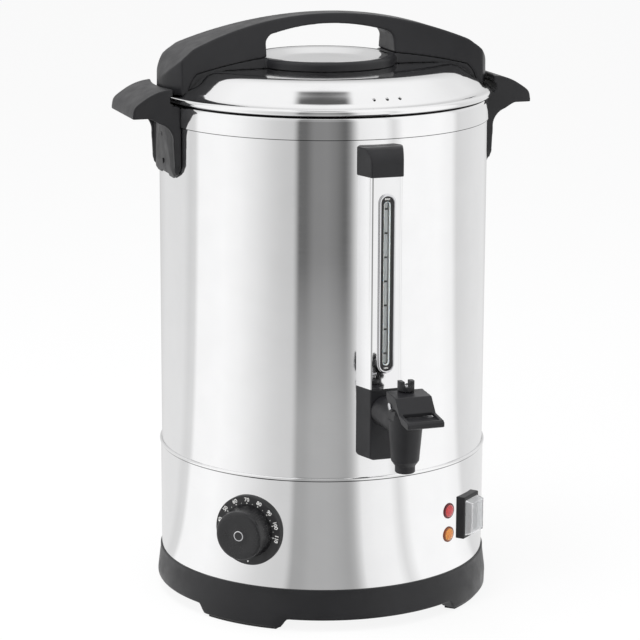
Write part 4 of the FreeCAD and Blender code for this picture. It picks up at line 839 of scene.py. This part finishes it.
def floor_finish():
    made = bpy.data.materials.new("pale_floor")
    made.use_nodes = True
    tree = made.node_tree
    tree.nodes.clear()
    out = tree.nodes.new("ShaderNodeOutputMaterial")
    path = tree.nodes.new("ShaderNodeLightPath")
    matte = tree.nodes.new("ShaderNodeBsdfDiffuse")
    matte.inputs["Color"].default_value = (0.9, 0.9, 0.9, 1)
    glow = tree.nodes.new("ShaderNodeEmission")
    glow.inputs["Color"].default_value = (1, 1, 1, 1)
    seen = tree.nodes.new("ShaderNodeMixShader")
    seen.inputs["Fac"].default_value = 0.88
    tree.links.new(matte.outputs[0], seen.inputs[1])
    tree.links.new(glow.outputs[0], seen.inputs[2])
    mirrored = tree.nodes.new("ShaderNodeEmission")
    place = tree.nodes.new("ShaderNodeNewGeometry")
    reach = tree.nodes.new("ShaderNodeVectorMath")
    reach.operation = "LENGTH"
    tree.links.new(place.outputs["Position"], reach.inputs[0])
    banding = bands(tree, place.outputs["Position"], 0.0, reach.outputs["Value"], (0.85, 1.75),
                    (0.32, 0.0), 2.0)
    tree.links.new(banding, mirrored.inputs["Color"])
    first = tree.nodes.new("ShaderNodeMixShader")
    second = tree.nodes.new("ShaderNodeMixShader")
    clear = tree.nodes.new("ShaderNodeMath")
    clear.operation = "MAXIMUM"
    tree.links.new(path.outputs["Is Camera Ray"], clear.inputs[0])
    tree.links.new(path.outputs["Is Transmission Ray"], clear.inputs[1])
    tree.links.new(clear.outputs[0], first.inputs["Fac"])
    tree.links.new(matte.outputs[0], first.inputs[1])
    tree.links.new(seen.outputs[0], first.inputs[2])
    tree.links.new(path.outputs["Is Glossy Ray"], second.inputs["Fac"])
    tree.links.new(first.outputs[0], second.inputs[1])
    tree.links.new(mirrored.outputs[0], second.inputs[2])
    tree.links.new(second.outputs[0], out.inputs["Surface"])
    return made


floor_mesh = bpy.data.meshes.new("floor")
work = bmesh.new()
FLOOR_HALF = 12
corners = [work.verts.new((x * FLOOR_HALF, y * FLOOR_HALF, 0))
           for x, y in ((-1, -1), (1, -1), (1, 1), (-1, 1))]
work.faces.new(corners)
work.to_mesh(floor_mesh)
work.free()
floor = placed("floor", floor_mesh)
floor.data.materials.append(floor_finish())

world = bpy.data.worlds.new("studio")
bpy.context.scene.world = world
world.use_nodes = True
tree = world.node_tree
tree.nodes.clear()
sky = tree.nodes.new("ShaderNodeBackground")
sky.inputs["Color"].default_value = (0.62, 0.62, 0.63, 1)
white = tree.nodes.new("ShaderNodeBackground")
white.inputs["Color"].default_value = (1, 1, 1, 1)
banded = tree.nodes.new("ShaderNodeBackground")
where = tree.nodes.new("ShaderNodeTexCoord")
rise = tree.nodes.new("ShaderNodeSeparateXYZ")
tree.links.new(where.outputs["Generated"], rise.inputs[0])
shown = bands(tree, where.outputs["Generated"], 0.12, rise.outputs["Z"], (0.5, 0.82), (0.0, 0.78), 1.0)


def inside(value, middle, half, soft):
    """1 within half of the middle, fading to 0."""
    away = tree.nodes.new("ShaderNodeMath")
    away.operation = "SUBTRACT"
    away.inputs[1].default_value = middle
    span = tree.nodes.new("ShaderNodeMath")
    span.operation = "ABSOLUTE"
    edge = tree.nodes.new("ShaderNodeMapRange")
    edge.interpolation_type = "SMOOTHSTEP"
    edge.inputs["From Min"].default_value, edge.inputs["From Max"].default_value = half - soft, half + soft
    edge.inputs["To Min"].default_value, edge.inputs["To Max"].default_value = 1.0, 0.0
    tree.links.new(value, away.inputs[0])
    tree.links.new(away.outputs[0], span.inputs[0])
    tree.links.new(span.outputs[0], edge.inputs["Value"])
    return edge.outputs["Result"]


facing = tree.nodes.new("ShaderNodeMapping")
facing.inputs["Rotation"].default_value = (0, 0, math.radians(-VIEW_ANGLE))
tree.links.new(where.outputs["Generated"], facing.inputs["Vector"])
across = tree.nodes.new("ShaderNodeSeparateXYZ")
tree.links.new(facing.outputs["Vector"], across.inputs[0])
patch = tree.nodes.new("ShaderNodeMath")
patch.operation = "MULTIPLY"
tree.links.new(inside(across.outputs["X"], 0.0, 0.165, 0.03), patch.inputs[0])
tree.links.new(inside(across.outputs["Y"], -0.07, 0.16, 0.05), patch.inputs[1])
overhead = tree.nodes.new("ShaderNodeMixRGB")
overhead.inputs["Color2"].default_value = (0.1, 0.1, 0.1, 1)
tree.links.new(patch.outputs[0], overhead.inputs["Fac"])
tree.links.new(shown, overhead.inputs["Color1"])
tree.links.new(overhead.outputs["Color"], banded.inputs["Color"])
path = tree.nodes.new("ShaderNodeLightPath")
clear = tree.nodes.new("ShaderNodeMath")
clear.operation = "MAXIMUM"
tree.links.new(path.outputs["Is Camera Ray"], clear.inputs[0])
tree.links.new(path.outputs["Is Transmission Ray"], clear.inputs[1])
first = tree.nodes.new("ShaderNodeMixShader")
second = tree.nodes.new("ShaderNodeMixShader")
tree.links.new(clear.outputs[0], first.inputs["Fac"])
tree.links.new(sky.outputs[0], first.inputs[1])
tree.links.new(white.outputs[0], first.inputs[2])
tree.links.new(path.outputs["Is Glossy Ray"], second.inputs["Fac"])
tree.links.new(first.outputs[0], second.inputs[1])
tree.links.new(banded.outputs[0], second.inputs[2])
out = tree.nodes.new("ShaderNodeOutputWorld")
tree.links.new(second.outputs[0], out.inputs["Surface"])


def lamp(name, place, size, watts):
    """Soft square lamp aimed at the middle of the urn. It doesn't show in glossy surfaces."""
    light = bpy.data.lights.new(name, "AREA")
    light.size, light.energy = size, watts
    made = bpy.data.objects.new(name, light)
    made.location = place
    made.rotation_euler = (Vector((0, 0, 0.25)) - Vector(place)).to_track_quat("-Z", "Y").to_euler()
    made.visible_glossy = False
    bpy.context.scene.collection.objects.link(made)
    return made


lamp("overhead_light", (-0.5, -0.2, 2.2), 1.2, 30)
lamp("left_light", (-1.8, -1.3, 1.3), 1.0, 16)
lamp("right_light", (1.9, -0.9, 1.2), 1.0, 7)

camera_data = bpy.data.cameras.new("camera")
camera_data.lens = 148.05
camera_data.sensor_width = 36.0
camera = bpy.data.objects.new("camera", camera_data)
camera.location = (-0.7597, -2.1815, 0.773)
aim = (Matrix.Rotation(math.radians(VIEW_ANGLE) + 0.0009, 3, "Z")
       @ Matrix.Rotation(math.radians(90 - LOOK_DOWN), 3, "X"))
camera.rotation_euler = (aim @ Matrix.Rotation(CAMERA_ROLL, 3, "Z")).to_euler()
bpy.context.scene.collection.objects.link(camera)
bpy.context.scene.camera = camera
bpy.context.scene.view_settings.view_transform = "Standard"

bpy.context.view_layer.update()
